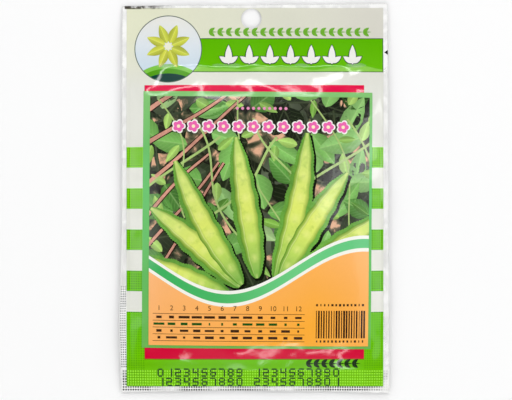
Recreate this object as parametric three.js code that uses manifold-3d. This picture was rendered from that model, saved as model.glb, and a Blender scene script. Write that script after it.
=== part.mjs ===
// A flat seed packet: two films welded round their edges, a glossy label stuck on the front, and inside them
// a folded planting leaflet and a layer of loose bean seeds. Millimetres. X runs across the packet, +Y towards
// its header, and +Z out of its printed front. The packet lies on its back on the plane z = 0.
import * as THREE from "three";
import { mergeVertices } from "three/addons/utils/BufferGeometryUtils.js";
import Module from "manifold-3d";

// ---- Driving dimensions -------------------------------------------------------------------------------------

// Outline of both films. The edges were cut by hand from a web of pouches, so they are a little out of square.
const LEFT_EDGE = -64.2;
const RIGHT_EDGE = 65.4;
const TOP_EDGE = 93.2;
const BOTTOM_EDGE = -94.1;
const RIGHT_LEAN = -0.8; // the right edge runs in by this much at the top
const TOP_RISE = 1.3; // the top edge climbs by this much towards the right
const BOTTOM_DROP = -0.4; // the bottom edge falls by this much towards the right
const LEFT_SWELL = 1.2; // the filled pouch pushes its left edge out near the bottom
const BOTTOM_ARCH = 0.9; // and draws the middle of its bottom edge up

const FILM_THICKNESS = 0.12;
const SIDE_SEAL = 4; // width of the weld along each side
const BOTTOM_SEAL_TOP = -83; // the crimped bottom weld ends here
const HEADER_BOTTOM = 64; // the flat double header starts here
const WELD_GAP = 0.3; // clearance between pieces that touch

// The weld plane, above the table.
const SEAL_HEIGHT = 2.4;
const HEADER_DROOP = 1.5;
const BOTTOM_DROOP = 1.0;
const SEAL_WAVE = 0.25;
const SEAL_WAVE_LENGTH = 47;

// The pillow between the welds.
const PILLOW_TOP = 9.2;
const PILLOW_POWER = 4; // how flat the middle of the pillow is
const REST_LEVEL = 0.7; // where the back film reaches the table, as a share of the pillow's height
const REST_POWER = 1.6;

const HANG_HOLE = { x: -1.5, y: 87, radius: 5, segments: 32 };

const LABEL = { x: 1.3, y: -10.6, width: 110.6, height: 123.9, turn: -0.4, thickness: 0.12 };

const LEAFLET = { x: 2, y: -12, width: 82, height: 106, turn: 1.5, thickness: 0.12, ply_gap: 0.2 };
const LEAFLET_DEPTH = 0.55; // the leaflet's middle plane, below the front film

const SEEDS = { count: 33, x: 1, y: -22, pitch: 5.7, stretch: 1.08, length: 8.4, width: 7.6, height: 6.8 };
const SEED_REST = 0.32; // the seeds' lowest point, just clear of the back film
const SEED_SPREAD = 0.05; // the seeds' sizes differ by this share
const GOLDEN_ANGLE = Math.PI * (3 - Math.sqrt(5));

const FILM_COLUMNS = 20;
const FILM_ROWS = 30;
const LABEL_COLUMNS = 14;
const LABEL_ROWS = 16;
const LEAFLET_COLUMNS = 9; // on each ply
const LEAFLET_FOLD_STEPS = 6;
const LEAFLET_ROWS = 12;

// ---- Shape of the packet ------------------------------------------------------------------------------------

const { clamp, lerp, degToRad } = THREE.MathUtils;

const swell = (t, centre, spread) => Math.exp(-(((t - centre) / spread) ** 2));

// The point of the outline's plane at the share u across and v up the packet.
function planAt(u, v) {
  const left = LEFT_EDGE - LEFT_SWELL * swell(v, 0.19, 0.16);
  const right = RIGHT_EDGE + RIGHT_LEAN * v;
  const bottom = BOTTOM_EDGE + BOTTOM_DROP * u + BOTTOM_ARCH * Math.sin(Math.PI * u);
  const top = TOP_EDGE + TOP_RISE * u;
  return new THREE.Vector2(lerp(left, right, u), lerp(bottom, top, v));
}

// The pillow's height at a point, as a share of its middle's: 0 on the welds and outside them, 1 in the middle.
function pillowShare(x, y) {
  const halfWidth = (RIGHT_EDGE - LEFT_EDGE) / 2 - SIDE_SEAL;
  const halfHeight = (HEADER_BOTTOM - BOTTOM_SEAL_TOP) / 2;
  const across = (x - (RIGHT_EDGE + LEFT_EDGE) / 2) / halfWidth;
  const along = (y - (HEADER_BOTTOM + BOTTOM_SEAL_TOP) / 2) / halfHeight;
  const section = (t) => Math.max(0, 1 - Math.abs(t) ** PILLOW_POWER);
  return section(across) * section(along);
}

// The height of the plane in which the two films are welded.
function sealHeight(x, y) {
  const header = clamp((y - HEADER_BOTTOM) / (TOP_EDGE - HEADER_BOTTOM), 0, 1);
  const bottom = clamp((BOTTOM_SEAL_TOP - y) / (BOTTOM_SEAL_TOP - BOTTOM_EDGE), 0, 1);
  const wave = SEAL_WAVE * Math.sin((2 * Math.PI * (x + y)) / SEAL_WAVE_LENGTH);
  return SEAL_HEIGHT - HEADER_DROOP * header - BOTTOM_DROOP * bottom + wave;
}

// The outside of the back film, which lies flat on the table under the pillow's middle.
function backHeight(x, y) {
  const edge = sealHeight(x, y) - WELD_GAP / 2 - FILM_THICKNESS;
  const rest = clamp(pillowShare(x, y) / REST_LEVEL, 0, 1);
  return edge * (1 - rest) ** REST_POWER;
}

// The inside of the front film.
function frontHeight(x, y) {
  const edge = sealHeight(x, y) + WELD_GAP / 2;
  return edge + (PILLOW_TOP - FILM_THICKNESS - edge) * pillowShare(x, y);
}

// ---- Solids -------------------------------------------------------------------------------------------------

// A closed solid between an outer and an inner skin, both given as a point for each pair of shares u, v.
function sheetSolid(columns, rows, outerAt, innerAt) {
  const positions = [];
  const width = columns.length;
  for (const skinAt of [outerAt, innerAt]) {
    for (const v of rows) {
      for (const u of columns) positions.push(...skinAt(u, v).toArray());
    }
  }
  const outer = (i, j) => j * width + i;
  const inner = (i, j) => width * rows.length + outer(i, j);
  const faces = [];
  const quad = (a, b, c, d) => faces.push(a, b, c, a, c, d);
  const lastColumn = width - 1;
  const lastRow = rows.length - 1;
  for (let j = 0; j < lastRow; j++) {
    for (let i = 0; i < lastColumn; i++) {
      quad(outer(i, j), outer(i + 1, j), outer(i + 1, j + 1), outer(i, j + 1));
      quad(inner(i, j), inner(i, j + 1), inner(i + 1, j + 1), inner(i + 1, j));
    }
    quad(outer(0, j), outer(0, j + 1), inner(0, j + 1), inner(0, j));
    quad(outer(lastColumn, j), inner(lastColumn, j), inner(lastColumn, j + 1), outer(lastColumn, j + 1));
  }
  for (let i = 0; i < lastColumn; i++) {
    quad(outer(i, 0), inner(i, 0), inner(i + 1, 0), outer(i + 1, 0));
    quad(outer(i, lastRow), outer(i + 1, lastRow), inner(i + 1, lastRow), inner(i, lastRow));
  }
  const geometry = new THREE.BufferGeometry();
  geometry.setAttribute("position", new THREE.Float32BufferAttribute(positions, 3));
  geometry.setIndex(faces);
  return geometry;
}

// Shares from 0 to 1, evenly spaced.
const evenShares = (count) => Array.from({ length: count + 1 }, (_, i) => i / count);

// Shares from 0 to 1 with a line on each weld's edge, and the rest closest together where the pillow rises.
function weldedShares(count, startWeld, endWeld) {
  const rise = (t) => (1 - Math.cos(Math.PI * t)) / 2;
  const blend = (t) => (t + rise(t)) / 2;
  const inside = evenShares(count - 2).map((t) => lerp(startWeld, 1 - endWeld, blend(t)));
  return [0, ...inside, 1];
}

const wasm = await Module();
wasm.setup();

function toSolid(geometry) {
  const bare = geometry.clone();
  bare.deleteAttribute("normal");
  bare.deleteAttribute("uv");
  const merged = mergeVertices(bare);
  return new wasm.Manifold(
    new wasm.Mesh({
      numProp: 3,
      vertProperties: merged.attributes.position.array,
      triVerts: new Uint32Array(merged.index.array),
    }),
  );
}

function fromSolid(solid) {
  const mesh = solid.getMesh();
  const geometry = new THREE.BufferGeometry();
  geometry.setAttribute("position", new THREE.BufferAttribute(mesh.vertProperties, 3));
  geometry.setIndex(new THREE.BufferAttribute(mesh.triVerts, 1));
  return geometry;
}

// A film with its hang hole: heightAt gives its lower skin.
function filmGeometry(heightAt) {
  const width = RIGHT_EDGE - LEFT_EDGE;
  const height = TOP_EDGE - BOTTOM_EDGE;
  const columns = weldedShares(FILM_COLUMNS, SIDE_SEAL / width, SIDE_SEAL / width);
  const bottomWeld = (BOTTOM_SEAL_TOP - BOTTOM_EDGE) / height;
  const headerShare = (TOP_EDGE - HEADER_BOTTOM) / height;
  const rows = weldedShares(FILM_ROWS, bottomWeld, headerShare);
  const skin = (lift) => (u, v) => {
    const { x, y } = planAt(u, v);
    return new THREE.Vector3(x, y, heightAt(x, y) + lift);
  };
  const sheet = sheetSolid(columns, rows, skin(FILM_THICKNESS), skin(0));
  const punch = new THREE.CylinderGeometry(HANG_HOLE.radius, HANG_HOLE.radius, 4 * PILLOW_TOP, HANG_HOLE.segments);
  punch.rotateX(Math.PI / 2).translate(HANG_HOLE.x, HANG_HOLE.y, 0);
  return fromSolid(toSolid(sheet).subtract(toSolid(punch)));
}

// A turned rectangle's point at the shares u, v.
function turnedPlan(piece, u, v) {
  const offset = new THREE.Vector2((u - 0.5) * piece.width, (v - 0.5) * piece.height);
  offset.rotateAround(new THREE.Vector2(), degToRad(piece.turn));
  return offset.add(new THREE.Vector2(piece.x, piece.y));
}

function labelGeometry() {
  const lift = FILM_THICKNESS + WELD_GAP;
  const skin = (height) => (u, v) => {
    const { x, y } = turnedPlan(LABEL, u, v);
    return new THREE.Vector3(x, y, frontHeight(x, y) + lift + height);
  };
  return sheetSolid(evenShares(LABEL_COLUMNS), evenShares(LABEL_ROWS), skin(LABEL.thickness), skin(0));
}

// The leaflet is one sheet, folded along its left edge: the upper ply, the round fold, then the lower ply.
function leafletGeometry() {
  const foldRadius = (LEAFLET.ply_gap + LEAFLET.thickness) / 2;
  const stations = [];
  for (const t of evenShares(LEAFLET_COLUMNS)) stations.push({ u: 1 - t, x: 0, z: 1 });
  for (let step = 1; step < LEAFLET_FOLD_STEPS; step++) {
    const angle = (Math.PI * step) / LEAFLET_FOLD_STEPS;
    stations.push({ u: 0, x: -Math.sin(angle), z: Math.cos(angle) });
  }
  for (const t of evenShares(LEAFLET_COLUMNS)) stations.push({ u: t, x: 0, z: -1 });
  const skin = (offset) => (index, v) => {
    const { u, x: outX, z: outZ } = stations[index];
    const { x, y } = turnedPlan(LEAFLET, u, v);
    const reach = foldRadius + offset;
    const middle = frontHeight(x, y) - LEAFLET_DEPTH;
    return new THREE.Vector3(x + outX * reach, y, middle + outZ * reach);
  };
  const columns = stations.map((_, index) => index);
  const halfPly = LEAFLET.thickness / 2;
  return sheetSolid(columns, evenShares(LEAFLET_ROWS), skin(-halfPly), skin(halfPly));
}

// ---- Assembly -----------------------------------------------------------------------------------------------

const packet = new THREE.Group();

function addPiece(name, geometry, finish) {
  const mesh = new THREE.Mesh(geometry, new THREE.MeshStandardMaterial(finish));
  mesh.name = name;
  packet.add(mesh);
  return mesh;
}

addPiece("front_film", filmGeometry(frontHeight), { color: 0xe3e4d6, roughness: 0.18, metalness: 0 });
addPiece("back_film", filmGeometry(backHeight), {
  color: 0xf2f4f2,
  roughness: 0.15,
  metalness: 0,
  transparent: true,
  opacity: 0.35,
});
addPiece("label", labelGeometry(), { color: 0xf5ae50, roughness: 0.2, metalness: 0 });
addPiece("planting_leaflet", leafletGeometry(), { color: 0xf3efe2, roughness: 0.75, metalness: 0 });

// The seeds lie in one loose layer, each a little different in size and direction.
for (let i = 0; i < SEEDS.count; i++) {
  const angle = i * GOLDEN_ANGLE;
  const reach = SEEDS.pitch * Math.sqrt(i + 0.5);
  const size = 1 + SEED_SPREAD * Math.sin(2.3 * i);
  const halfHeight = (SEEDS.height * size) / 2;
  const seed = addPiece(`seed_${String(i + 1).padStart(2, "0")}`, new THREE.IcosahedronGeometry(1, 1), {
    color: 0x8a6038,
    roughness: 0.35,
    metalness: 0,
  });
  seed.scale.set((SEEDS.length * size) / 2, (SEEDS.width * size) / 2, halfHeight);
  seed.rotation.z = 1.7 * i;
  seed.position.set(
    SEEDS.x + SEEDS.stretch * reach * Math.cos(angle),
    SEEDS.y + reach * Math.sin(angle),
    SEED_REST + halfHeight,
  );
}

export default packet;
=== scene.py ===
"""A glossy printed seed packet lying on its back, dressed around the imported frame.

The packet is two clear films welded round their edges, printed inside their clear margins, with a glossy
label stuck on the front. A folded leaflet and a layer of bean seeds lie inside. Sizes in the classes below
are in millimetres, and every finished mesh is in metres in the frame's own coordinates.
"""

from __future__ import annotations

import logging
import math
from collections.abc import Callable, Sequence
from dataclasses import dataclass, field
from enum import Enum

import bmesh
import bpy
import numpy as np
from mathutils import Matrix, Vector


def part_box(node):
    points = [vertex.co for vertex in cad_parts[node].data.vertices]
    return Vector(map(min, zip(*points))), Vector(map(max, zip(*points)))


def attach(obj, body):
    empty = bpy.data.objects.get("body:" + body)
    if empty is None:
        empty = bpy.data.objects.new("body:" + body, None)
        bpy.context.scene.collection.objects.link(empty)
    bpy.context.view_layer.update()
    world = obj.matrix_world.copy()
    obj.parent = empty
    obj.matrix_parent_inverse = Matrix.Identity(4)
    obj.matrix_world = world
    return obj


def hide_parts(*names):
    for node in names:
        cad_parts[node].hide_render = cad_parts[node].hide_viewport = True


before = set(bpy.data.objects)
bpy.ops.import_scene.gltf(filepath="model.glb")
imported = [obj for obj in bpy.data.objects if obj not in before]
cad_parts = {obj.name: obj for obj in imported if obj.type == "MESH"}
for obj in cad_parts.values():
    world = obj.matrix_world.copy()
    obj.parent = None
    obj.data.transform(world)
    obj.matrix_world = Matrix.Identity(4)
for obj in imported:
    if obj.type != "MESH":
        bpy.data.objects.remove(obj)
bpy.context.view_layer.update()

MM = 0.001
logging.basicConfig(level=logging.INFO, format="%(message)s")
log = logging.getLogger("seed_packet")

Array = np.ndarray
Colour = tuple[float, float, float, float]
Faces = list[tuple[int, ...]]
Heights = Callable[[Array, Array], Array]
Material = bpy.types.Material
Object = bpy.types.Object
Paint = tuple[object, object]
Pair = tuple[float, float]
Point = tuple[float, float, float]
Socket = bpy.types.NodeSocket


# ---- Shape of the packet ----


def smooth(edge0: float, edge1: float, value: Array) -> Array:
    """Ease from 0 at edge0 to 1 at edge1.

    Args:
        edge0: Where the result leaves 0.
        edge1: Where the result reaches 1; it may be below edge0.
        value: The values to ease.

    Returns:
        The eased values, from 0 to 1.
    """
    t = np.clip((value - edge0) / (edge1 - edge0), 0.0, 1.0)
    return t * t * (3.0 - 2.0 * t)


def folds(along: Array, phase: float) -> Array:
    """An irregular row of rounded folds, about 6 to 20 mm apart.

    Args:
        along: Distance along the weld, in millimetres.
        phase: Shifts the row, so that no two welds pucker alike.

    Returns:
        Heights from about -1 to 1.
    """
    broad = np.sin(along / 4.9 + phase)
    middle = np.sin(along / 2.7 + 1.7 * phase + 1.3 * np.sin(along / 11.0))
    sharp = 1.0 - 2.0 * np.abs(np.sin(along / 7.3 + 0.6 * phase))
    return 0.42 * broad + 0.26 * middle + 0.32 * sharp


@dataclass(frozen=True)
class Rectangle:
    """A rectangle in the packet's plane, turned about its own centre."""

    x: float
    y: float
    width: float
    height: float
    turn: float = 0.0

    def place(self, x: Array, y: Array) -> tuple[Array, Array]:
        """Turn and move points from the rectangle's own axes onto the packet's plane."""
        angle = math.radians(self.turn)
        return (
            self.x + x * math.cos(angle) - y * math.sin(angle),
            self.y + x * math.sin(angle) + y * math.cos(angle),
        )


@dataclass(frozen=True)
class PacketForm:
    """The packet's outline and the height of its films, as the construction has them.

    The visible films touch where they are welded, and carry the puckers and ripples of real film.
    """

    left: float
    right: float
    bottom: float
    top: float
    crown: float
    left_swell: float = 1.2
    right_lean: float = -0.8
    top_rise: float = 1.3
    bottom_drop: float = -0.4
    bottom_arch: float = 0.9
    film: float = 0.12
    side_seal: float = 4.0
    bottom_seal_top: float = -83.0
    header_bottom: float = 64.0
    seal_height: float = 2.4
    header_droop: float = 1.5
    bottom_droop: float = 1.0
    seal_wave: float = 0.25
    seal_wave_length: float = 47.0
    pillow_power: float = 4.0
    rest_level: float = 0.7
    rest_power: float = 1.6
    weld: float = 0.02
    stiff_x: float = 1.3
    stiff_y: float = -10.6
    stiff_half_width: float = 53.0
    stiff_half_height: float = 59.5
    stiff_ease: float = 5.0
    hole_x: float = -1.5
    hole_y: float = 87.0
    hole_radius: float = 5.0

    @classmethod
    def from_frame(cls) -> PacketForm:
        """Take the outline and the crown from the front film's own box."""
        low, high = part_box("front_film")
        swell, drop, rise = cls.left_swell, cls.bottom_drop, cls.top_rise
        return cls(
            left=low[0] / MM + swell,
            right=high[0] / MM,
            bottom=low[1] / MM - drop,
            top=high[1] / MM - rise,
            crown=high[2] / MM,
        )

    def plan(self, u: Array, v: Array) -> tuple[Array, Array]:
        """The point of the outline's plane at the share u across and v up the packet."""
        left = self.left - self.left_swell * np.exp(-(((v - 0.19) / 0.16) ** 2))
        left = left + 0.12 * np.sin(v * 31.0) * v * (1.0 - v)
        right = self.right + self.right_lean * v + 0.15 * (np.sin(v * 27.0) - 1.0) * v * (1.0 - v)
        bottom = self.bottom + self.bottom_drop * u + self.bottom_arch * np.sin(math.pi * u)
        top = self.top + self.top_rise * u
        return left + (right - left) * u, bottom + (top - bottom) * v

    def pillow(self, x: Array, y: Array) -> Array:
        """The pillow's height as a share of its middle's: 0 on the welds and outside them."""
        half_width = (self.right - self.left) / 2 - self.side_seal
        half_height = (self.header_bottom - self.bottom_seal_top) / 2
        across = (x - (self.right + self.left) / 2) / half_width
        along = (y - (self.header_bottom + self.bottom_seal_top) / 2) / half_height
        power = self.pillow_power
        return np.clip(1 - np.abs(across) ** power, 0, 1) * np.clip(1 - np.abs(along) ** power, 0, 1)

    def seal(self, x: Array, y: Array) -> Array:
        """The height of the plane in which the films are welded."""
        header = np.clip((y - self.header_bottom) / (self.top - self.header_bottom), 0, 1)
        lower = np.clip((self.bottom_seal_top - y) / (self.bottom_seal_top - self.bottom), 0, 1)
        wave = self.seal_wave * np.sin(2 * math.pi * (x + y) / self.seal_wave_length)
        ripple = 0.1 * np.sin(x / 5.3 + 1.1 * np.sin(y / 17)) * header
        return self.seal_height - self.header_droop * header - self.bottom_droop * lower + wave + ripple

    def puckers(self, x: Array, y: Array) -> Array:
        """The folds that run off the welds into the front of the pillow."""
        header = smooth(self.header_bottom + 3.5, self.header_bottom - 3, y)
        header = header * smooth(self.header_bottom - 26, self.header_bottom - 8, y)
        lean = x + 0.55 * (y - self.header_bottom) * np.sin(x / 21.0 + 0.8)
        top_folds = 0.62 * header * folds(lean, 0.9)
        lower = smooth(self.bottom_seal_top - 0.5, self.bottom_seal_top + 5, y)
        lower = lower * smooth(self.bottom_seal_top + 24, self.bottom_seal_top + 8, y)
        low_folds = 0.42 * lower * folds(x - 0.4 * (y - self.bottom_seal_top) * np.sin(x / 17.0), 2.6)
        sides = np.zeros_like(x)
        for edge, direction, phase in ((self.left, 1.0, 4.1), (self.right, -1.0, 5.7)):
            inside = direction * (x - edge)
            reach = smooth(self.side_seal - 0.5, self.side_seal + 4, inside)
            reach = reach * smooth(self.side_seal + 20, self.side_seal + 6, inside)
            sides = sides + 0.34 * reach * folds(y + 0.5 * inside * np.sin(y / 23.0), phase)
        inside_ends = smooth(self.bottom_seal_top, self.bottom_seal_top + 6, y)
        inside_ends = inside_ends * smooth(self.header_bottom, self.header_bottom - 6, y)
        inside_sides = smooth(self.left + self.side_seal, self.left + self.side_seal + 6, x)
        inside_sides = inside_sides * smooth(self.right - self.side_seal, self.right - self.side_seal - 6, x)
        return (top_folds + low_folds) * inside_sides + sides * inside_ends

    def swells(self, x: Array, y: Array) -> Array:
        """The slow rise and fall of the filled middle."""
        first = np.sin(x / 19.0 + 0.7) * np.sin(y / 24.0 + 1.9)
        second = np.sin((x + 0.8 * y) / 13.0 + 0.4)
        return (0.26 * first + 0.12 * second) * self.pillow(x, y)

    def front_inner(self, x: Array, y: Array) -> Array:
        """The inside of the front film."""
        edge = self.seal(x, y) + self.weld / 2
        share = self.pillow(x, y)
        rise = (self.crown - self.film - edge) * share
        stiff = 1.0 - 0.8 * self.under_label(x, y)
        return edge + rise + self.puckers(x, y) * stiff + self.swells(x, y) - 0.3 * share

    def under_label(self, x: Array, y: Array) -> Array:
        """1 where the label stiffens the film, and 0 away from it."""
        across, up = self.stiff_half_width, self.stiff_half_height
        share = smooth(across + self.stiff_ease, across, np.abs(x - self.stiff_x))
        return share * smooth(up + self.stiff_ease, up, np.abs(y - self.stiff_y))

    def front(self, x: Array, y: Array) -> Array:
        """The outside of the front film."""
        return self.front_inner(x, y) + self.film

    def label_face(self, x: Array, y: Array) -> Array:
        """The printed face of the label."""
        return self.front(x, y) + LABEL_STOCK + LABEL_GLUE

    def back(self, x: Array, y: Array) -> Array:
        """The outside of the back film, which lies flat under the middle of the pillow."""
        edge = self.seal(x, y) - self.weld / 2 - self.film
        lifted = 1 - np.clip(self.pillow(x, y) / self.rest_level, 0, 1)
        pucker = 0.5 * np.abs(self.puckers(x, y)) * np.clip(2.5 * lifted, 0, 1) * lifted
        return edge * lifted**self.rest_power + pucker

    def back_inner(self, x: Array, y: Array) -> Array:
        """The inside of the back film."""
        return self.back(x, y) + self.film


LABEL_STOCK = 0.12
LABEL_GLUE = 0.02
CREASE_RISE = 0.35


# ---- Meshes ----


@dataclass
class Skin:
    """An open sheet in plan: its points in millimetres and its faces."""

    x: Array
    y: Array
    faces: Faces

    @classmethod
    def grid(cls, x: Array, y: Array) -> Skin:
        """A sheet of quads over a two-dimensional grid of points."""
        rows, columns = x.shape
        faces = [
            (j * columns + i, j * columns + i + 1, (j + 1) * columns + i + 1, (j + 1) * columns + i)
            for j in range(rows - 1)
            for i in range(columns - 1)
        ]
        return cls(x.ravel(), y.ravel(), faces)

    def rims(self) -> list[tuple[int, int]]:
        """The edges that only one face uses, in that face's direction."""
        seen: set[tuple[int, int]] = set()
        for face in self.faces:
            seen.update(zip(face, face[1:] + face[:1]))
        return [(a, b) for a, b in seen if (b, a) not in seen]


def linked(name: str, data: object) -> Object:
    """A new object on its data, linked to the scene."""
    thing = bpy.data.objects.new(name, data)
    bpy.context.scene.collection.objects.link(thing)
    return thing


def mesh_object(name: str, points: Array, faces: Faces, finish: Material) -> Object:
    """Make a smooth-shaded object from points in millimetres.

    Args:
        name: The piece's name.
        points: One row of x, y, z for each vertex.
        faces: Vertex indices, counter-clockwise from outside.
        finish: The material of the whole piece.

    Returns:
        The object, linked to the scene.
    """
    mesh = bpy.data.meshes.new(name)
    mesh.from_pydata((points * MM).tolist(), [], faces)
    mesh.polygons.foreach_set("use_smooth", [True] * len(mesh.polygons))
    mesh.materials.append(finish)
    mesh.update()
    return linked(name, mesh)


def shell(name: str, skin: Skin, upper: Heights, lower: Heights, finish: Material) -> Object:
    """A closed sheet between two height functions, with a sharp rim.

    Args:
        name: The piece's name.
        skin: Its plan.
        upper: The height of its upper face.
        lower: The height of its lower face.
        finish: Its material.

    Returns:
        The closed shell.
    """
    top = np.column_stack([skin.x, skin.y, upper(skin.x, skin.y)])
    base = np.column_stack([skin.x, skin.y, lower(skin.x, skin.y)])
    return closed_between(name, top, base, skin.faces, finish)


def closed_between(name: str, top: Array, base: Array, faces: Faces, finish: Material) -> Object:
    """A closed sheet between two sets of points that share their faces.

    Args:
        name: The piece's name.
        top: The points of the skin whose faces are used as they are.
        base: The points of the skin whose faces are turned round.
        faces: The faces of either skin.
        finish: The material.

    Returns:
        The closed piece.
    """
    count = len(top)
    plan = Skin(top[:, 0], top[:, 1], faces)
    everything = list(faces) + [tuple(i + count for i in reversed(face)) for face in faces]
    rim_start = len(everything)
    everything += [(b, a, a + count, b + count) for a, b in plan.rims()]
    piece = mesh_object(name, np.vstack([top, base]), everything, finish)
    for polygon in piece.data.polygons[rim_start:]:
        polygon.use_smooth = False
    sharpen_rims(piece.data)
    return piece


def sharpen_rims(mesh: bpy.types.Mesh) -> None:
    """Mark the edges between the faces and the rim as sharp."""
    bm = bmesh.new()
    bm.from_mesh(mesh)
    for edge in bm.edges:
        if len({face.smooth for face in edge.link_faces}) > 1:
            edge.smooth = False
    bm.to_mesh(mesh)
    bm.free()


def drape(piece: Object, surface: Heights, lift: float, on: Rectangle | None = None) -> Object:
    """Lay a flat mesh in millimetres on a surface, and turn it into metres.

    Args:
        piece: The flat mesh; its own z is kept as extra height.
        surface: The height of what it lies on.
        lift: How far its plane stays above that.
        on: The turned rectangle that its x and y are measured in, or None for the packet's own axes.

    Returns:
        The same object.
    """
    mesh = piece.data
    flat = np.empty(len(mesh.vertices) * 3)
    mesh.vertices.foreach_get("co", flat)
    points = flat.reshape(-1, 3)
    x, y = points[:, 0], points[:, 1]
    if on is not None:
        x, y = on.place(x, y)
    z = surface(x, y) + lift + points[:, 2]
    mesh.vertices.foreach_set("co", (np.column_stack([x, y, z]) * MM).ravel())
    mesh.update()
    return piece


def flat_object(name: str, points: Sequence[Sequence[float]], faces: Faces) -> Object:
    """A flat working mesh in millimetres, with a map of its own box, in no collection.

    Args:
        name: The working object's name.
        points: Its points, of two numbers, or three where one is raised.
        faces: Its faces.

    Returns:
        The unlinked object.
    """
    mesh = bpy.data.meshes.new(name)
    mesh.from_pydata([(p[0], p[1], p[2] if len(p) > 2 else 0.0) for p in points], [], faces)
    plan = np.array([(p[0], p[1]) for p in points])
    low, span = plan.min(0), np.maximum(np.ptp(plan, axis=0), 1e-6)
    layer = mesh.uv_layers.new(name="UVMap")
    for loop in mesh.loops:
        layer.data[loop.index].uv = (plan[loop.vertex_index] - low) / span
    return bpy.data.objects.new(name, mesh)


def faces_of(mesh: bpy.types.Mesh) -> Faces:
    """A mesh's faces as plain vertex numbers."""
    return [tuple(polygon.vertices) for polygon in mesh.polygons]


def joined(name: str, shapes: Sequence[tuple[list[Point], Faces]]) -> Object:
    """Several shapes, each with its own points and faces, as one flat working mesh."""
    points: list[Point] = []
    faces: Faces = []
    for own_points, own_faces in shapes:
        faces += [tuple(i + len(points) for i in face) for face in own_faces]
        points += own_points
    return flat_object(name, points, faces)


def trim(piece: Object, low: Pair, high: Pair) -> None:
    """Cut a flat mesh off outside a box in its own plane.

    Args:
        piece: The mesh, in millimetres.
        low: The box's lower left corner.
        high: Its upper right corner.
    """
    bm = bmesh.new()
    bm.from_mesh(piece.data)
    for point, normal in (
        ((low[0], 0, 0), (-1, 0, 0)),
        ((high[0], 0, 0), (1, 0, 0)),
        ((0, low[1], 0), (0, -1, 0)),
        ((0, high[1], 0), (0, 1, 0)),
    ):
        everything = bm.verts[:] + bm.edges[:] + bm.faces[:]
        bmesh.ops.bisect_plane(bm, geom=everything, plane_co=point, plane_no=normal, clear_outer=True)
    bm.to_mesh(piece.data)
    bm.free()


# ---- Motifs: small flat shapes that are repeated ----


def leaf_motif(name: str, length: float, width: float, steps: int = 10, lobes: float = 0.0) -> Object:
    """A pointed leaf from the origin along +X, two quads wide.

    Args:
        name: The working object's name.
        length: Tip to base.
        width: Across the middle.
        steps: Quads along it.
        lobes: How much its outline waves, as a share of its width.

    Returns:
        The flat leaf.
    """
    points: list[Pair] = []
    for step in range(steps + 1):
        t = step / steps
        half = width / 2 * math.sin(math.pi * t**0.8) ** 0.85 if 0 < t < 1 else 0.001
        half *= 1 + lobes * math.sin(9 * math.pi * t)
        points += [(length * t, -half), (length * t, 0.0), (length * t, half)]
    faces = []
    for step in range(steps):
        a = 3 * step
        faces += [(a, a + 3, a + 4, a + 1), (a + 1, a + 4, a + 5, a + 2)]
    return flat_object(name, points, faces)


def disc_motif(name: str, radius: float, sides: int = 12) -> Object:
    """A round dot."""
    angles = [2 * math.pi * i / sides for i in range(sides)]
    ring = [(radius * math.cos(angle), radius * math.sin(angle)) for angle in angles]
    return flat_object(name, [(0.0, 0.0), *ring], [(0, i + 1, (i + 1) % sides + 1) for i in range(sides)])


def block_motif(name: str, width: float, height: float) -> Object:
    """A plain rectangle about the origin."""
    x, y = width / 2, height / 2
    return flat_object(name, [(-x, -y), (x, -y), (x, y), (-x, y)], [(0, 1, 2, 3)])


def flower_motif(name: str, radius: float, petals: int = 5, steps: int = 40) -> Object:
    """A flower outline with round petals.

    Args:
        name: The working object's name.
        radius: From its middle to a petal's tip.
        petals: How many petals it has.
        steps: Points round its outline.

    Returns:
        The flat flower.
    """
    ring = []
    for i in range(steps):
        angle = 2 * math.pi * i / steps
        reach = radius * (0.72 + 0.28 * abs(math.cos(petals * angle / 2)) ** 0.8)
        ring.append((reach * math.cos(angle), reach * math.sin(angle)))
    return flat_object(name, [(0.0, 0.0), *ring], [(0, i + 1, (i + 1) % steps + 1) for i in range(steps)])


def pad_motif(name: str, width: float, height: float, rise: float, inset: float) -> Object:
    """A closed pad with sloping sides, as a crimping jaw presses into film.

    Args:
        name: The working object's name.
        width: Across its base.
        height: Up its base.
        rise: How far its crown stands above the base.
        inset: The crown's size as a share of the base's.

    Returns:
        The pad.
    """
    x, y = width / 2, height / 2
    base = [(-x, -y, 0.0), (x, -y, 0.0), (x, y, 0.0), (-x, y, 0.0)]
    crown = [(px * inset, py * inset, rise) for px, py, _ in base]
    faces = [(3, 2, 1, 0), (4, 5, 6, 7)]
    faces += [(i, (i + 1) % 4, (i + 1) % 4 + 4, i + 4) for i in range(4)]
    return flat_object(name, base + crown, faces)


# ---- Geometry Nodes ----


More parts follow.
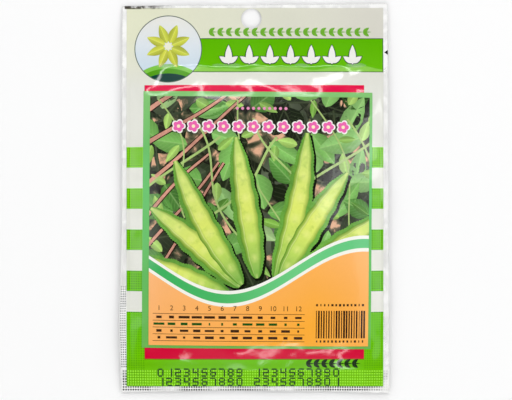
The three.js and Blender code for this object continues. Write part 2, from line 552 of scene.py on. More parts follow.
class Graph:
    """Short calls for building a node tree."""

    def __init__(self, tree: bpy.types.NodeTree) -> None:
        """Wrap a tree."""
        self.tree = tree

    def add(self, kind: str, **settings: object) -> bpy.types.Node:
        """Add a node and set its properties."""
        node = self.tree.nodes.new(kind)
        for key, value in settings.items():
            setattr(node, key, value)
        return node

    def feed(self, socket: Socket, value: object) -> None:
        """Link an output to an input, or set the input's own value."""
        if isinstance(value, Socket):
            self.tree.links.new(value, socket)
        elif value is not None:
            socket.default_value = value

    def use(self, kind: str, inputs: dict[object, object], **settings: object) -> bpy.types.NodeOutputs:
        """Add a node, feed its inputs by name or place, and return its outputs."""
        node = self.add(kind, **settings)
        for key, value in inputs.items():
            self.feed(node.inputs[key], value)
        return node.outputs

    def result(self, *values: object) -> bpy.types.NodeTree:
        """Feed a group's outputs, and return its finished tree."""
        self.use("NodeGroupOutput", dict(enumerate(values)))
        return self.tree

    def math(self, operation: str, *values: object, clamp: bool = False) -> Socket:
        """A Math node on the given values."""
        return self.use("ShaderNodeMath", dict(enumerate(values)), operation=operation, use_clamp=clamp)[0]

    def plus(self, a: object, b: object, clamp: bool = False) -> Socket:
        """The sum of two values."""
        return self.math("ADD", a, b, clamp=clamp)

    def minus(self, a: object, b: object, clamp: bool = False) -> Socket:
        """The first value less the second."""
        return self.math("SUBTRACT", a, b, clamp=clamp)

    def times(self, a: object, b: object, clamp: bool = False) -> Socket:
        """The product of two values."""
        return self.math("MULTIPLY", a, b, clamp=clamp)

    def combine(self, x: object, y: object, z: object = 0.0) -> Socket:
        """A vector from three values."""
        return self.use("ShaderNodeCombineXYZ", {0: x, 1: y, 2: z})[0]

    def parts(self, vector: object) -> bpy.types.NodeOutputs:
        """A vector's three values."""
        return self.use("ShaderNodeSeparateXYZ", {0: vector})

    def sum_of(self, first: object, second: object) -> Socket:
        """The sum of two vectors."""
        return self.use("ShaderNodeVectorMath", {0: first, 1: second}, operation="ADD")[0]

    def scaled(self, vector: object, by: object) -> Socket:
        """A vector times a value."""
        return self.use("ShaderNodeVectorMath", {0: vector, "Scale": by}, operation="SCALE")[0]

    def surface_map(self) -> bpy.types.NodeOutputs:
        """The piece's own map: along it, then across it."""
        return self.parts(self.add("ShaderNodeUVMap", uv_map="UVMap").outputs[0])

    def noise(self, scale: float, detail: float = 2.0, distortion: float = 0.0) -> Socket:
        """Noise in the object's own space, from 0 to 1."""
        where = self.add("ShaderNodeTexCoord").outputs["Object"]
        inputs = {"Vector": where, "Scale": scale, "Detail": detail, "Distortion": distortion}
        return self.use("ShaderNodeTexNoise", inputs)["Fac"]

    def random(self, low: object, high: object, seed: object, vector: bool = False) -> Socket:
        """A random value or vector for each instance."""
        kind, first = ("FLOAT_VECTOR", 0) if vector else ("FLOAT", 2)
        inputs = {first: low, first + 1: high, "Seed": seed}
        return self.use("FunctionNodeRandomValue", inputs, data_type=kind)[0 if vector else 1]


class Repeat(Enum):
    """The ways in which a motif is repeated."""

    LATTICE = "lattice"
    RING = "ring"
    SPIRAL = "spiral"
    POINTS = "points"


class RepeatTree:
    """A Geometry Nodes tree that repeats a motif and gives the result one material."""

    LAYERS = 5.0
    SOCKETS = {
        "motif": "Object", "finish": "Material", "columns": "Int", "rows": "Int", "pitch": "Vector",
        "centre": "Vector", "shift": "Vector", "turn": "Float", "turn_spread": "Float", "smallest": "Vector",
        "largest": "Vector", "layer_step": "Float", "seed": "Int",
    }
    _made: dict[Repeat, bpy.types.NodeTree] = {}

    @classmethod
    def get(cls, way: Repeat) -> bpy.types.NodeTree:
        """Return the tree for a way of repeating, building it on first use."""
        if way not in cls._made:
            cls._made[way] = cls._build(way)
        return cls._made[way]

    @classmethod
    def _build(cls, way: Repeat) -> bpy.types.NodeTree:
        """Build one tree.

        Args:
            way: How its points are laid out.

        Returns:
            The finished tree.
        """
        tree = bpy.data.node_groups.new(f"repeat_{way.value}", "GeometryNodeTree")
        tree.interface.new_socket("Geometry", in_out="INPUT", socket_type="NodeSocketGeometry")
        for name, kind in cls.SOCKETS.items():
            tree.interface.new_socket(name, in_out="INPUT", socket_type=f"NodeSocket{kind}")
        tree.interface.new_socket("Geometry", in_out="OUTPUT", socket_type="NodeSocketGeometry")
        graph = Graph(tree)
        inputs = graph.add("NodeGroupInput").outputs
        index = graph.add("GeometryNodeInputIndex").outputs[0]
        points, place, turn = getattr(cls, f"_{way.value}")(graph, inputs, index)
        shift, spread, seed = inputs["shift"], inputs["turn_spread"], inputs["seed"]
        wander = graph.random(graph.scaled(shift, -1.0), shift, seed, vector=True)
        layer = graph.times(graph.math("MODULO", index, cls.LAYERS), inputs["layer_step"])
        offset = graph.sum_of(wander, graph.combine(0.0, 0.0, layer))
        wanted = {"Geometry": points, "Position": place, "Offset": offset}
        moved = graph.use("GeometryNodeSetPosition", wanted)[0]
        wobble = graph.random(graph.times(spread, -1.0), spread, graph.plus(seed, 7.0))
        scale = graph.random(inputs["smallest"], inputs["largest"], graph.plus(seed, 3.0), vector=True)
        motif = graph.use("GeometryNodeObjectInfo", {"Object": inputs["motif"]})["Geometry"]
        turned = graph.combine(0.0, 0.0, graph.plus(turn, wobble))
        wanted = {"Points": moved, "Instance": motif, "Rotation": turned, "Scale": scale}
        copies = graph.use("GeometryNodeInstanceOnPoints", wanted)[0]
        wanted = {"Geometry": copies, "Name": "tint", "Value": graph.random(0.0, 1.0, graph.plus(seed, 11.0))}
        tinted = graph.use("GeometryNodeStoreNamedAttribute", wanted, data_type="FLOAT", domain="INSTANCE")[0]
        real = graph.use("GeometryNodeRealizeInstances", {0: tinted})[0]
        dressed = graph.use("GeometryNodeSetMaterial", {"Geometry": real, "Material": inputs["finish"]})[0]
        return graph.result(dressed)

    @staticmethod
    def _laid(graph: Graph, inputs: object, count: object, x: object, y: object) -> tuple[Socket, Socket]:
        """That many points, and their places: the centre moved by x and y."""
        points = graph.use("GeometryNodePoints", {"Count": count})[0]
        return points, graph.sum_of(inputs["centre"], graph.combine(x, y))

    @classmethod
    def _lattice(cls, graph: Graph, inputs: object, index: object) -> tuple:
        """Columns and rows about the centre; the pitch's third number leans each row sideways."""
        columns, rows = inputs["columns"], inputs["rows"]
        pitch = graph.parts(inputs["pitch"])
        row = graph.math("FLOOR", graph.math("DIVIDE", graph.plus(index, 0.5), columns))
        column = graph.minus(index, graph.times(row, columns))
        half_columns = graph.times(graph.minus(columns, 1.0), 0.5)
        half_rows = graph.times(graph.minus(rows, 1.0), 0.5)
        lean = graph.times(graph.math("MODULO", row, 2.0), pitch[2])
        x = graph.plus(graph.times(graph.minus(column, half_columns), pitch[0]), lean)
        y = graph.times(graph.minus(row, half_rows), pitch[1])
        return *cls._laid(graph, inputs, graph.times(columns, rows), x, y), inputs["turn"]

    @classmethod
    def _ring(cls, graph: Graph, inputs: object, index: object) -> tuple:
        """Columns round a circle whose radius is the pitch's first number, each facing out."""
        pitch = graph.parts(inputs["pitch"])
        step = graph.math("DIVIDE", 2 * math.pi, inputs["columns"])
        angle = graph.plus(graph.times(index, step), inputs["turn"])
        x = graph.times(graph.math("COSINE", angle), pitch[0])
        y = graph.times(graph.math("SINE", angle), pitch[0])
        return *cls._laid(graph, inputs, inputs["columns"], x, y), angle

    @classmethod
    def _spiral(cls, graph: Graph, inputs: object, index: object) -> tuple:
        """Columns on a golden-angle spiral: the pitch's numbers spread it and stretch it sideways."""
        pitch = graph.parts(inputs["pitch"])
        angle = graph.times(index, math.pi * (3 - math.sqrt(5)))
        reach = graph.times(graph.math("SQRT", graph.plus(index, 0.5)), pitch[0])
        wide = graph.times(reach, pitch[1])
        x = graph.times(graph.math("COSINE", angle), wide)
        y = graph.times(graph.math("SINE", angle), reach)
        return *cls._laid(graph, inputs, inputs["columns"], x, y), graph.times(index, inputs["turn"])

    @classmethod
    def _points(cls, graph: Graph, inputs: object, index: object) -> tuple:
        """On the object's own vertices."""
        points = graph.use("GeometryNodeMeshToPoints", {"Mesh": inputs["Geometry"]})[0]
        place = graph.add("GeometryNodeInputPosition").outputs[0]
        return points, graph.sum_of(place, inputs["centre"]), inputs["turn"]


@dataclass
class Pattern:
    """One use of a repeat tree: what is repeated, how often and where.

    A pitch and a centre are two numbers, and a third where it isn't 0.
    """

    name: str
    motif: Object
    finish: Material
    way: Repeat = Repeat.LATTICE
    columns: int = 1
    rows: int = 1
    pitch: Sequence[float] = (1.0, 1.0)
    centre: Sequence[float] = (0.0, 0.0)
    shift: Point = (0.0, 0.0, 0.0)
    turn: float = 0.0
    turn_spread: float = 0.0
    smallest: Point = (1.0, 1.0, 1.0)
    largest: Point = (1.0, 1.0, 1.0)
    layer_step: float = 0.0
    seed: int = 1

    def make(self, carrier: Object | None = None) -> Object:
        """Run the tree and keep its result as a plain mesh.

        Args:
            carrier: The mesh whose vertices carry the copies, for Repeat.POINTS.

        Returns:
            The flat piece, in millimetres, linked to the scene.
        """
        host = carrier or bpy.data.objects.new("host", bpy.data.meshes.new("host"))
        collection = bpy.context.scene.collection
        for thing in (host, self.motif):
            if thing.name not in collection.objects:
                collection.objects.link(thing)
        modifier = host.modifiers.new("repeat", "NODES")
        modifier.node_group = RepeatTree.get(self.way)
        items = modifier.node_group.interface.items_tree
        keys = {item.name: item.identifier for item in items if item.in_out == "INPUT"}
        for name in RepeatTree.SOCKETS:
            value = getattr(self, name)
            modifier[keys[name]] = (*value, 0.0)[:3] if name in ("pitch", "centre") else value
        evaluated = host.evaluated_get(bpy.context.evaluated_depsgraph_get())
        mesh = bpy.data.meshes.new_from_object(evaluated)
        host.modifiers.remove(modifier)
        mesh.name = self.name
        mesh.polygons.foreach_set("use_smooth", [False] * len(mesh.polygons))
        piece = linked(self.name, mesh)
        bpy.data.objects.remove(host)
        collection.objects.unlink(self.motif)
        return piece


# ---- Shader groups ----


def ink(red: int, green: int, blue: int) -> Colour:
    """A display colour, 0 to 255, as the linear colour that shaders use."""
    channels = []
    for value in (red, green, blue):
        c = value / 255
        channels.append(c / 12.92 if c <= 0.04045 else ((c + 0.055) / 1.055) ** 2.4)
    return (channels[0], channels[1], channels[2], 1.0)


class Groups:
    """The node groups that several finishes share, each built once."""

    _made: dict[str, bpy.types.NodeTree] = {}

    @classmethod
    def place(cls, graph: Graph, name: str, **values: object) -> bpy.types.NodeOutputs:
        """Put a group in a material.

        Args:
            graph: The material's graph.
            name: The group's name here.
            values: Its inputs, with underscores for spaces.

        Returns:
            The group's outputs.
        """
        if name not in cls._made:
            cls._made[name] = getattr(cls, f"_{name}")()
        inputs = {key.replace("_", " ").title(): value for key, value in values.items()}
        return graph.use("ShaderNodeGroup", inputs, node_tree=cls._made[name])

    @staticmethod
    def _start(name: str, inputs: dict[str, object], outputs: dict[str, int]) -> tuple:
        """An empty group's graph and inputs, from its inputs' values and the width of each output."""
        tree = bpy.data.node_groups.new(name, "ShaderNodeTree")
        kinds = {1: "NodeSocketFloat", 3: "NodeSocketVector", 4: "NodeSocketColor"}
        for label, default in inputs.items():
            socket = tree.interface.new_socket(label, in_out="INPUT", socket_type=kinds[np.size(default)])
            socket.default_value = default
        for label, count in outputs.items():
            tree.interface.new_socket(label, in_out="OUTPUT", socket_type=kinds[count])
        graph = Graph(tree)
        return graph, graph.add("NodeGroupInput").outputs

    @classmethod
    def _plan(cls) -> bpy.types.NodeTree:
        """Millimetres across and up a rectangle, from its centre and turn."""
        graph, given = cls._start("plan", {"Centre": (0, 0, 0), "Turn": (0, 0, 0)}, {"X": 1, "Y": 1})
        where = graph.add("ShaderNodeTexCoord").outputs["Object"]
        wanted = {"Vector": where, "Location": given["Centre"], "Rotation": given["Turn"]}
        parts = graph.parts(graph.use("ShaderNodeMapping", wanted, vector_type="TEXTURE")[0])
        return graph.result(graph.math("DIVIDE", parts[0], MM), graph.math("DIVIDE", parts[1], MM))

    @classmethod
    def _panel(cls) -> bpy.types.NodeTree:
        """1 inside a rectangle and 0 outside, with a soft edge."""
        names = ("X", "Y", "Centre X", "Centre Y", "Half Width", "Half Height")
        graph, given = cls._start("panel", dict.fromkeys(names, 1.0) | {"Soft": 0.08}, {"Mask": 1})
        reaches = []
        for axis, half in (("X", "Half Width"), ("Y", "Half Height")):
            away = graph.math("ABSOLUTE", graph.minus(given[axis], given[f"Centre {axis}"]))
            reaches.append(graph.minus(away, given[half]))
        outside = graph.math("MAXIMUM", *reaches)
        return graph.result(graph.minus(0.5, graph.math("DIVIDE", outside, given["Soft"]), clamp=True))

    @classmethod
    def _mottle(cls) -> bpy.types.NodeTree:
        """A printed ink's faint unevenness."""
        graph, given = cls._start("mottle", {"Colour": (1, 1, 1, 1), "Amount": 0.05}, {"Colour": 4})
        value: object = 1.0
        for scale, share in ((45.0, 1.0), (900.0, 0.5)):
            swing = graph.times(graph.minus(graph.noise(scale), 0.5), 2 * share)
            value = graph.plus(value, graph.times(swing, given["Amount"]))
        return graph.result(graph.scaled(given["Colour"], value))

    @classmethod
    def _creases(cls) -> bpy.types.NodeTree:
        """The fine creases and ripples of glossy film, as a normal."""
        graph, given = cls._start("creases", {"Depth": 1.0}, {"Normal": 3})
        height: object = 0.0
        for scale, share, distortion in ((60.0, 1.0, 0.8), (210.0, 0.28, 1.6)):
            height = graph.plus(height, graph.times(graph.noise(scale, 1.5, distortion), share))
        wanted = {"Distance": CREASE_RISE * MM, "Strength": given["Depth"], "Height": height}
        return graph.result(graph.use("ShaderNodeBump", wanted)[0])


# ---- Finishes ----


@dataclass(frozen=True)
class Finish:
    """A surface's gloss, which every finish here has, and the making of its material."""

    name: str
    roughness: float = 0.11
    coat: float = 0.25
    coat_roughness: float = 0.04
    creases: float = 0.4
    mottle: float = 0.05

    def make(self) -> Material:
        """Build the material around the finish's own colours."""
        material = bpy.data.materials.new(self.name)
        material.use_nodes = True
        material.node_tree.nodes.clear()
        graph = Graph(material.node_tree)
        colour, alpha = self.paint(graph)
        wanted = {
            "Base Color": Groups.place(graph, "mottle", colour=colour, amount=self.mottle)[0],
            "Alpha": alpha,
            "Roughness": self.roughness,
            "Coat Weight": self.coat,
            "Coat Roughness": self.coat_roughness,
        }
        if self.creases:
            wanted["Normal"] = Groups.place(graph, "creases", depth=self.creases)[0]
        shader = graph.use("ShaderNodeBsdfPrincipled", wanted)[0]
        graph.use("ShaderNodeOutputMaterial", {"Surface": shader})
        return material

    def paint(self, graph: Graph) -> Paint:
        """The colour and the alpha, as sockets or values."""
        raise NotImplementedError


def over(graph: Graph, below: object, *layers: Paint) -> Socket:
    """Paint layers over a colour, each shown where its own mask is 1.

    Args:
        graph: The material's graph.
        below: The colour beneath.
        layers: The mask and the colour of each, bottom to top.

    Returns:
        The colour on top.
    """
    for mask, above in layers:
        below = graph.use("ShaderNodeMix", {"Factor": mask, 6: below, 7: above}, data_type="RGBA")[2]
    return below


def ramp(graph: Graph, value: object, low: float, high: float, colours: Sequence[tuple]) -> Socket:
    """Evenly spaced colours from one value to another.

    Args:
        graph: The material's graph.
        value: What is read.
        low: The value of the first colour.
        high: The value of the last.
        colours: Two or more linear colours.

    Returns:
        The colour at the value.
    """
    spread = graph.use("ShaderNodeMapRange", {"Value": value, "From Min": low, "From Max": high})[0]
    node = graph.add("ShaderNodeValToRGB")
    stops = node.color_ramp.elements
    while len(stops) < len(colours):
        stops.new(0.5)
    for i, colour in enumerate(colours):
        stops[i].position = i / (len(colours) - 1)
        stops[i].color = colour
    graph.feed(node.inputs[0], spread)
    return node.outputs[0]


def panel(graph: Graph, plan: object, low: Pair, high: Pair, soft: float = 0.08) -> Socket:
    """1 inside a rectangle, with a soft edge.

    Args:
        graph: The material's graph.
        plan: The outputs of the group that measures the piece's plane.
        low: The rectangle's lower left corner, in millimetres.
        high: Its upper right corner.
        soft: How wide the edge's blend is.

    Returns:
        The mask.
    """
    x, y = ((a + b) / 2 for a, b in zip(low, high))
    wide, tall = ((b - a) / 2 for a, b in zip(low, high))
    return Groups.place(
        graph, "panel", x=plan["X"], y=plan["Y"], centre_x=x, centre_y=y, half_width=wide, half_height=tall,
        soft=soft,
    )[0]


def disc(graph: Graph, x: object, y: object, centre: Pair, radius: float) -> Socket:
    """1 inside a circle, with an edge 0.1 mm soft."""
    dx = graph.minus(x, centre[0])
    dy = graph.minus(y, centre[1])
    reach = graph.math("SQRT", graph.plus(graph.times(dx, dx), graph.times(dy, dy)))
    return graph.times(graph.minus(radius, reach), 10.0, clamp=True)


def cloudy(graph: Graph, scale: float, least: float) -> Socket:
    """An uneven strength from the given least value to 1."""
    cloud = graph.times(graph.minus(graph.noise(scale), 0.4), 5.0, clamp=True)
    return graph.plus(graph.times(cloud, 1.0 - least), least)


def film_haze(graph: Graph, amount: float, patches: Pair = (240.0, 0.82)) -> Socket:
    """How solid clear film looks: an uneven haze, with more gloss where it turns away."""
    facing = graph.use("ShaderNodeLayerWeight", {"Blend": 0.35})["Facing"]
    gloss = graph.times(graph.math("POWER", facing, 2.0), 0.4)
    return graph.plus(graph.times(cloudy(graph, *patches), amount), gloss)


@dataclass(frozen=True)
class PlainInk(Finish):
    """One ink colour all over."""

    colour: Colour = (1.0, 1.0, 1.0, 1.0)

    def paint(self, graph: Graph) -> Paint:
        """One colour, opaque."""
        return self.colour, 1.0


def plain_ink(name: str, red: int, green: int, blue: int, **gloss: float) -> Material:
    """A material of one display colour, 0 to 255, with its gloss where that differs."""
    return PlainInk(name, colour=ink(red, green, blue), **gloss).make()


@dataclass(frozen=True)
class TintedInk(Finish):
    """Leaves whose colours differ from one to the next, with a midrib and side veins."""

    colours: tuple = ()
    vein: Colour = (1.0, 1.0, 1.0, 1.0)
    vein_strength: float = 0.5

    def paint(self, graph: Graph) -> Paint:
        """A colour for each leaf, shaded across it, with veins."""
        tint = graph.add("ShaderNodeAttribute", attribute_name="tint").outputs["Fac"]
        base = ramp(graph, tint, 0.0, 1.0, self.colours)
        parts = graph.surface_map()
        side = graph.math("ABSOLUTE", graph.minus(parts[1], 0.5))
        rib = graph.minus(1.0, graph.times(side, 22.0), clamp=True)
        sweep = graph.minus(parts[0], graph.times(side, 0.7))
        ripple = graph.math("SINE", graph.times(sweep, 48.0))
        veins = graph.times(graph.minus(ripple, 0.72), 2.2, clamp=True)
        lines = graph.times(graph.math("MAXIMUM", rib, graph.times(veins, 0.6)), self.vein_strength)
        half = graph.times(graph.math("GREATER_THAN", parts[1], 0.5), 0.22)
        shades = (graph.times(side, 0.7), ink(18, 26, 10)), (half, ink(20, 40, 10))
        return over(graph, base, *shades, (lines, self.vein)), 1.0


@dataclass(frozen=True)
class PodInk(Finish):
    """A printed pod: yellow-green, darker at its edges, with a bulge over each bean."""

    beans: int = 7

    def paint(self, graph: Graph) -> Paint:
        """Colour along and across the pod, from its map."""
        parts = graph.surface_map()
        along, across = parts[0], parts[1]
        stem, tip = ink(124, 180, 84), ink(180, 212, 110)
        greens = [stem, ink(188, 218, 98), ink(224, 236, 112), ink(216, 232, 122), tip]
        side = graph.math("ABSOLUTE", graph.minus(across, 0.46))
        edge = graph.times(graph.minus(side, 0.24), 3.2, clamp=True)
        wave = graph.math("COSINE", graph.times(along, 2 * math.pi * self.beans))
        hump = graph.times(graph.plus(wave, 0.1), 0.6, clamp=True)
        inner = graph.minus(1.0, graph.times(side, 3.4), clamp=True)
        seam = graph.math("ABSOLUTE", graph.minus(across, 0.8))
        line = graph.minus(1.0, graph.times(seam, 26.0), clamp=True)
        patch = graph.times(graph.minus(graph.noise(260.0, 4.0), 0.52), 3.0, clamp=True)
        return over(
            graph, ramp(graph, along, 0.0, 1.0, greens),
            (edge, ink(84, 138, 38)),
            (graph.times(graph.times(hump, inner), 0.7), ink(240, 244, 150)),
            (graph.times(line, 0.6), ink(226, 240, 160)),
            (graph.times(patch, 0.55), ink(120, 176, 52)),
        ), 1.0


@dataclass(frozen=True)
class FilmPrint(Finish):
    """The film's own print: white ground, green header band, badge, side stripes, red panel and green foot.

    The reverse is the white backing of the same print. A lift lightens the ink on the seals' raised marks as
    a painted highlight; without one the bottom seal gets painted shade between its pads. The print also
    carries painted light: a pale highlight wave under the band, a dark reflection streak at the top left, and
    shade above the bottom seal and in the side seals' knurled grooves.
    """

    clear_colour: Colour = (1.0, 1.0, 0.985, 1.0)
    clear_alpha: float = 0.94
    patches: Pair = (240.0, 0.82)
    reverse: bool = False
    # How much the ink is lightened, as a painted highlight on raised seal marks.
    lift: float = 0.0

    def paint(self, graph: Graph) -> Paint:
        """The layers of ink, bottom to top, and where the film stays clear."""
        art = FilmArt()
        plan = Groups.place(graph, "plan")
        x, y = plan["X"], plan["Y"]
        printed = panel(graph, plan, (art.left, art.bottom), (art.right, art.top), 0.25)
        mark_reach = graph.minus(x, art.mark_tip)
        mark_rise = graph.math("ABSOLUTE", graph.minus(y, art.mark_y))
        mark = graph.math("LESS_THAN", mark_rise, graph.times(mark_reach, art.mark_slope))
        mark = graph.times(mark, graph.math("LESS_THAN", mark_reach, art.mark_length))
        opaque = graph.math("MAXIMUM", printed, mark)
        # Painted reflection: a dark grey streak along the top left of the clear margin, fading to the right,
        # which also makes the film less clear there.
        painted_reflection_streak = panel(graph, plan, art.reflection_low, art.reflection_high, 0.4)
        greys = [ink(255, 255, 255), ink(240, 240, 240), ink(120, 120, 120)]
        fade = ramp(graph, x, art.left, art.reflection_high[0], greys)
        painted_reflection_streak = graph.times(painted_reflection_streak, graph.times(fade, cloudy(graph, 500.0, 0.3)))
        haze = film_haze(graph, self.clear_alpha, self.patches)
        haze = graph.math("MAXIMUM", haze, graph.times(painted_reflection_streak, 0.9))
        clear = self.clear_colour
        alpha = graph.math("MAXIMUM", opaque, haze, clamp=True)
        if self.reverse:
            return over(graph, clear, (printed, ink(238, 239, 236))), alpha
        whites = [ink(228, 230, 202), ink(222, 223, 204), ink(217, 215, 204)]
        lower = graph.math("DIVIDE", graph.minus(art.band_top, y), art.ground_fade, clamp=True)
        ground = over(graph, ramp(graph, x, art.left, art.right, whites), (lower, ink(228, 229, 220)))
        reds = [ink(212, 0, 54), ink(216, 4, 60), ink(232, 16, 74)]
        red = ramp(graph, y, art.red_bottom, art.red_top, reds)
        green = ramp(graph, y, art.band_bottom, art.band_top, [ink(104, 190, 8), ink(92, 182, 0)])
        low, high, line = (-art.red_half, art.red_bottom), (art.red_half, art.red_top), art.band_outline
        shadow = panel(graph, plan, (low[0] - art.red_outline[0], low[1] - art.red_outline[1]), high)
        rim_high = (art.right + 0.1, art.band_top + line)
        rim = panel(graph, plan, (art.badge_x, art.band_bottom - line), rim_high)
        band = panel(graph, plan, (art.badge_x, art.band_bottom), (art.right - line, art.band_top))
        colour = over(
            graph, self._stripes(graph, art, x, y, ground),
            (graph.times(shadow, 0.75), ink(112, 40, 16)),
            (panel(graph, plan, low, high), red),
            (rim, ink(46, 84, 34)),
            (band, green),
            # Painted highlight: a pale green wave along the band's lower edge.
            (graph.times(band, self._band_painted_highlight(graph, art, x, y)), ink(176, 226, 110)),
        )
        # Painted shade darkens the bottom seal between the crimp pads; on the pads themselves a lift paints a
        # paler green highlight instead.
        painted_groove_shade = graph.times(graph.math("LESS_THAN", y, art.seal_top), 0.14)
        seal = (self.lift, ink(160, 238, 24)) if self.lift else (painted_groove_shade, ink(22, 84, 0))
        colour = over(graph, self._badge(graph, art, x, y, colour), seal)
        # The painted reflection streak, then the printed eye mark.
        marks = (painted_reflection_streak, ink(52, 46, 34)), (mark, ink(16, 16, 14))
        return over(graph, clear, (printed, colour), *marks), alpha

    @staticmethod
    def _stripes(graph: Graph, art: FilmArt, x: object, y: object, below: object) -> object:
        """The green foot and the stripes above it, with painted shade just above the bottom seal and in the
        side seals' knurled grooves.
        """
        down = graph.minus(art.stripe_top, y)
        turn = graph.math("FRACT", graph.math("DIVIDE", down, art.stripe_period))
        stripe = graph.math("LESS_THAN", turn, 0.5)
        stripe = graph.times(stripe, graph.math("GREATER_THAN", down, 0.0))
        foot = graph.math("LESS_THAN", y, art.foot_top)
        mask = graph.math("MAXIMUM", stripe, foot)
        greens = [ink(118, 200, 4), ink(104, 196, 0), ink(112, 204, 0), ink(120, 210, 0), ink(136, 220, 24)]
        # Painted shade: a darker band just above the bottom seal, where the film slopes down away from the
        # light.
        away = graph.math("ABSOLUTE", graph.minus(y, art.painted_shade_middle))
        shade = graph.minus(1.0, graph.math("DIVIDE", away, art.painted_shade_reach), clamp=True)
        # Painted shade in the crossed grooves that the side seals' knurling presses into the stripes and the
        # foot, weaker on the foot.
        slants = []
        for lean in (1.0, -1.0):
            slant = graph.plus(graph.times(y, art.hatch), graph.times(x, lean * art.hatch))
            slants.append(graph.math("SINE", slant))
        cross = graph.times(graph.times(*slants), 2.0, clamp=True)
        edge = graph.math("GREATER_THAN", graph.math("ABSOLUTE", x), art.red_half)
        strength = graph.math("MULTIPLY_ADD", foot, -0.55, 0.9)
        hatch = graph.times(graph.times(cross, edge), graph.times(mask, strength))
        return over(
            graph, below,
            (mask, ramp(graph, y, art.bottom, art.stripe_top, greens)),
            # painted shade above the seal, then painted shade in the knurled grooves
            (graph.times(shade, 0.16), ink(40, 96, 0)),
            (hatch, ink(44, 120, 0)),
        )

    @staticmethod
    def _band_painted_highlight(graph: Graph, art: FilmArt, x: object, y: object) -> object:
        """How strong the painted highlight is: a pale wave along the band's lower edge, where the film's
        puckers catch the light.
        """
        level: object = art.band_bottom + art.highlight_height
        for length, height in ((6.1, 0.75), (2.6, 0.35)):
            wave = graph.math("SINE", graph.math("DIVIDE", x, length))
            level = graph.plus(level, graph.times(wave, height))
        below = graph.times(graph.minus(level, y), 3.0, clamp=True)
        return graph.times(below, 0.4)

    @staticmethod
    def _badge(graph: Graph, art: FilmArt, x: object, y: object, below: object) -> object:
        """A pale disc with a thin dark ring, and three round mounds of green at its foot."""
        centre = (art.badge_x, art.badge_y)
        ring = disc(graph, x, y, centre, art.badge_radius)
        inside = disc(graph, x, y, centre, art.badge_radius - art.badge_ring)
        blues = [ink(204, 222, 234), ink(222, 230, 236), ink(232, 232, 226)]
        sky = ramp(graph, y, art.badge_y - 10, art.badge_y + 14, blues)
        layers = [(ring, ink(66, 86, 78)), (inside, sky)]
        for drop, green in ((0.0, ink(128, 200, 74)), (2.2, ink(84, 160, 26)), (4.6, ink(4, 62, 54))):
            mound = disc(graph, x, y, (art.badge_x, art.badge_y - art.mound_drop - drop), art.mound_radius)
            layers.append((graph.times(mound, inside), green))
        return over(graph, below, *layers)


@dataclass(frozen=True)
class FilmArt:
    """Where the film's print lies, and the light and shade painted on it, in millimetres of the packet's own
    axes.
    """

    left: float = -61.9
    right: float = 62.4
    top: float = 92.2
    bottom: float = -91.1
    band_top: float = 77.1
    band_bottom: float = 61.3
    band_outline: float = 0.35
    badge_x: float = -41.7
    badge_y: float = 72.2
    badge_radius: float = 16.4
    badge_ring: float = 0.4
    mound_radius: float = 24.0
    mound_drop: float = 31.2
    red_half: float = 53.0
    red_top: float = 54.6
    red_bottom: float = -77.6
    red_outline: Pair = (0.2, 0.4)
    ground_fade: float = 24.0
    stripe_top: float = 24.7
    stripe_period: float = 19.9
    foot_top: float = -55.4
    seal_top: float = -83.2
    # The corners of the painted reflection streak.
    reflection_low: Pair = (-62.9, 91.7)
    reflection_high: Pair = (-40.0, 94.6)
    painted_shade_middle: float = -80.6
    painted_shade_reach: float = 3.6
    # How fine the painted knurl shade is.
    hatch: float = 2.7
    highlight_height: float = 2.0
    mark_tip: float = 62.8
    mark_y: float = 70.6
    mark_length: float = 1.8
    mark_slope: float = 0.62


@dataclass(frozen=True)
class LabelGround(Finish):
    """The label's green border and the dark, leafy ground of its picture."""

    def paint(self, graph: Graph) -> Paint:
        """The border, then the picture's window."""
        art = LabelArt()
        plan = Groups.place(
            graph, "plan", centre=(art.sheet.x * MM, art.sheet.y * MM, 0.0),
            turn=(0, 0, math.radians(art.sheet.turn))
        )
        half = art.sheet.height / 2
        border = ramp(
            graph, plan["Y"], -half, half,
            [ink(108, 182, 82), ink(90, 186, 88), ink(92, 192, 98), ink(132, 198, 116)],
        )
        low, high = (art.window_left, art.window_bottom), (art.window_right, art.window_top)
        window = panel(graph, plan, low, high, 0.1)
        ground = ramp(
            graph, graph.noise(130.0, 5.0, 0.6), 0.37, 0.62,
            [ink(18, 17, 14), ink(38, 40, 28), ink(66, 72, 52), ink(112, 102, 78), ink(226, 176, 142)],
        )
        return over(graph, border, (window, ground)), 1.0


@dataclass(frozen=True)
class PanelInk(Finish):
    """The orange panel with its white, green and white sweep along the top edge."""

    def paint(self, graph: Graph) -> Paint:
        """Colours by depth below the panel's edge, and across it."""
        art = LabelArt()
        parts = graph.surface_map()
        depth = graph.times(parts[1], art.depth_unit)
        colour = ramp(
            graph, parts[0], 0.0, 1.0,
            [ink(255, 186, 128), ink(255, 178, 92), ink(253, 172, 56), ink(254, 176, 62), ink(254, 184, 108)],
        )
        low = ramp(graph, depth, 8.0, 34.0, [ink(255, 184, 112), ink(252, 170, 46)])
        swoosh = ramp(
            graph, parts[0], 0.0, 1.0,
            [ink(60, 178, 96), ink(78, 186, 104), ink(112, 208, 134), ink(98, 200, 128)],
        )
        layers = [(0.45, low)]
        for limit, tone in (
            (art.sweep_white * 2 + art.sweep_green, ink(246, 246, 236)),
            (art.sweep_white + art.sweep_green, swoosh),
            (art.sweep_white, ink(246, 246, 238)),
        ):
            layers.append((graph.times(graph.minus(limit, depth), 8.0, clamp=True), tone))
        return over(graph, colour, *layers), 1.0


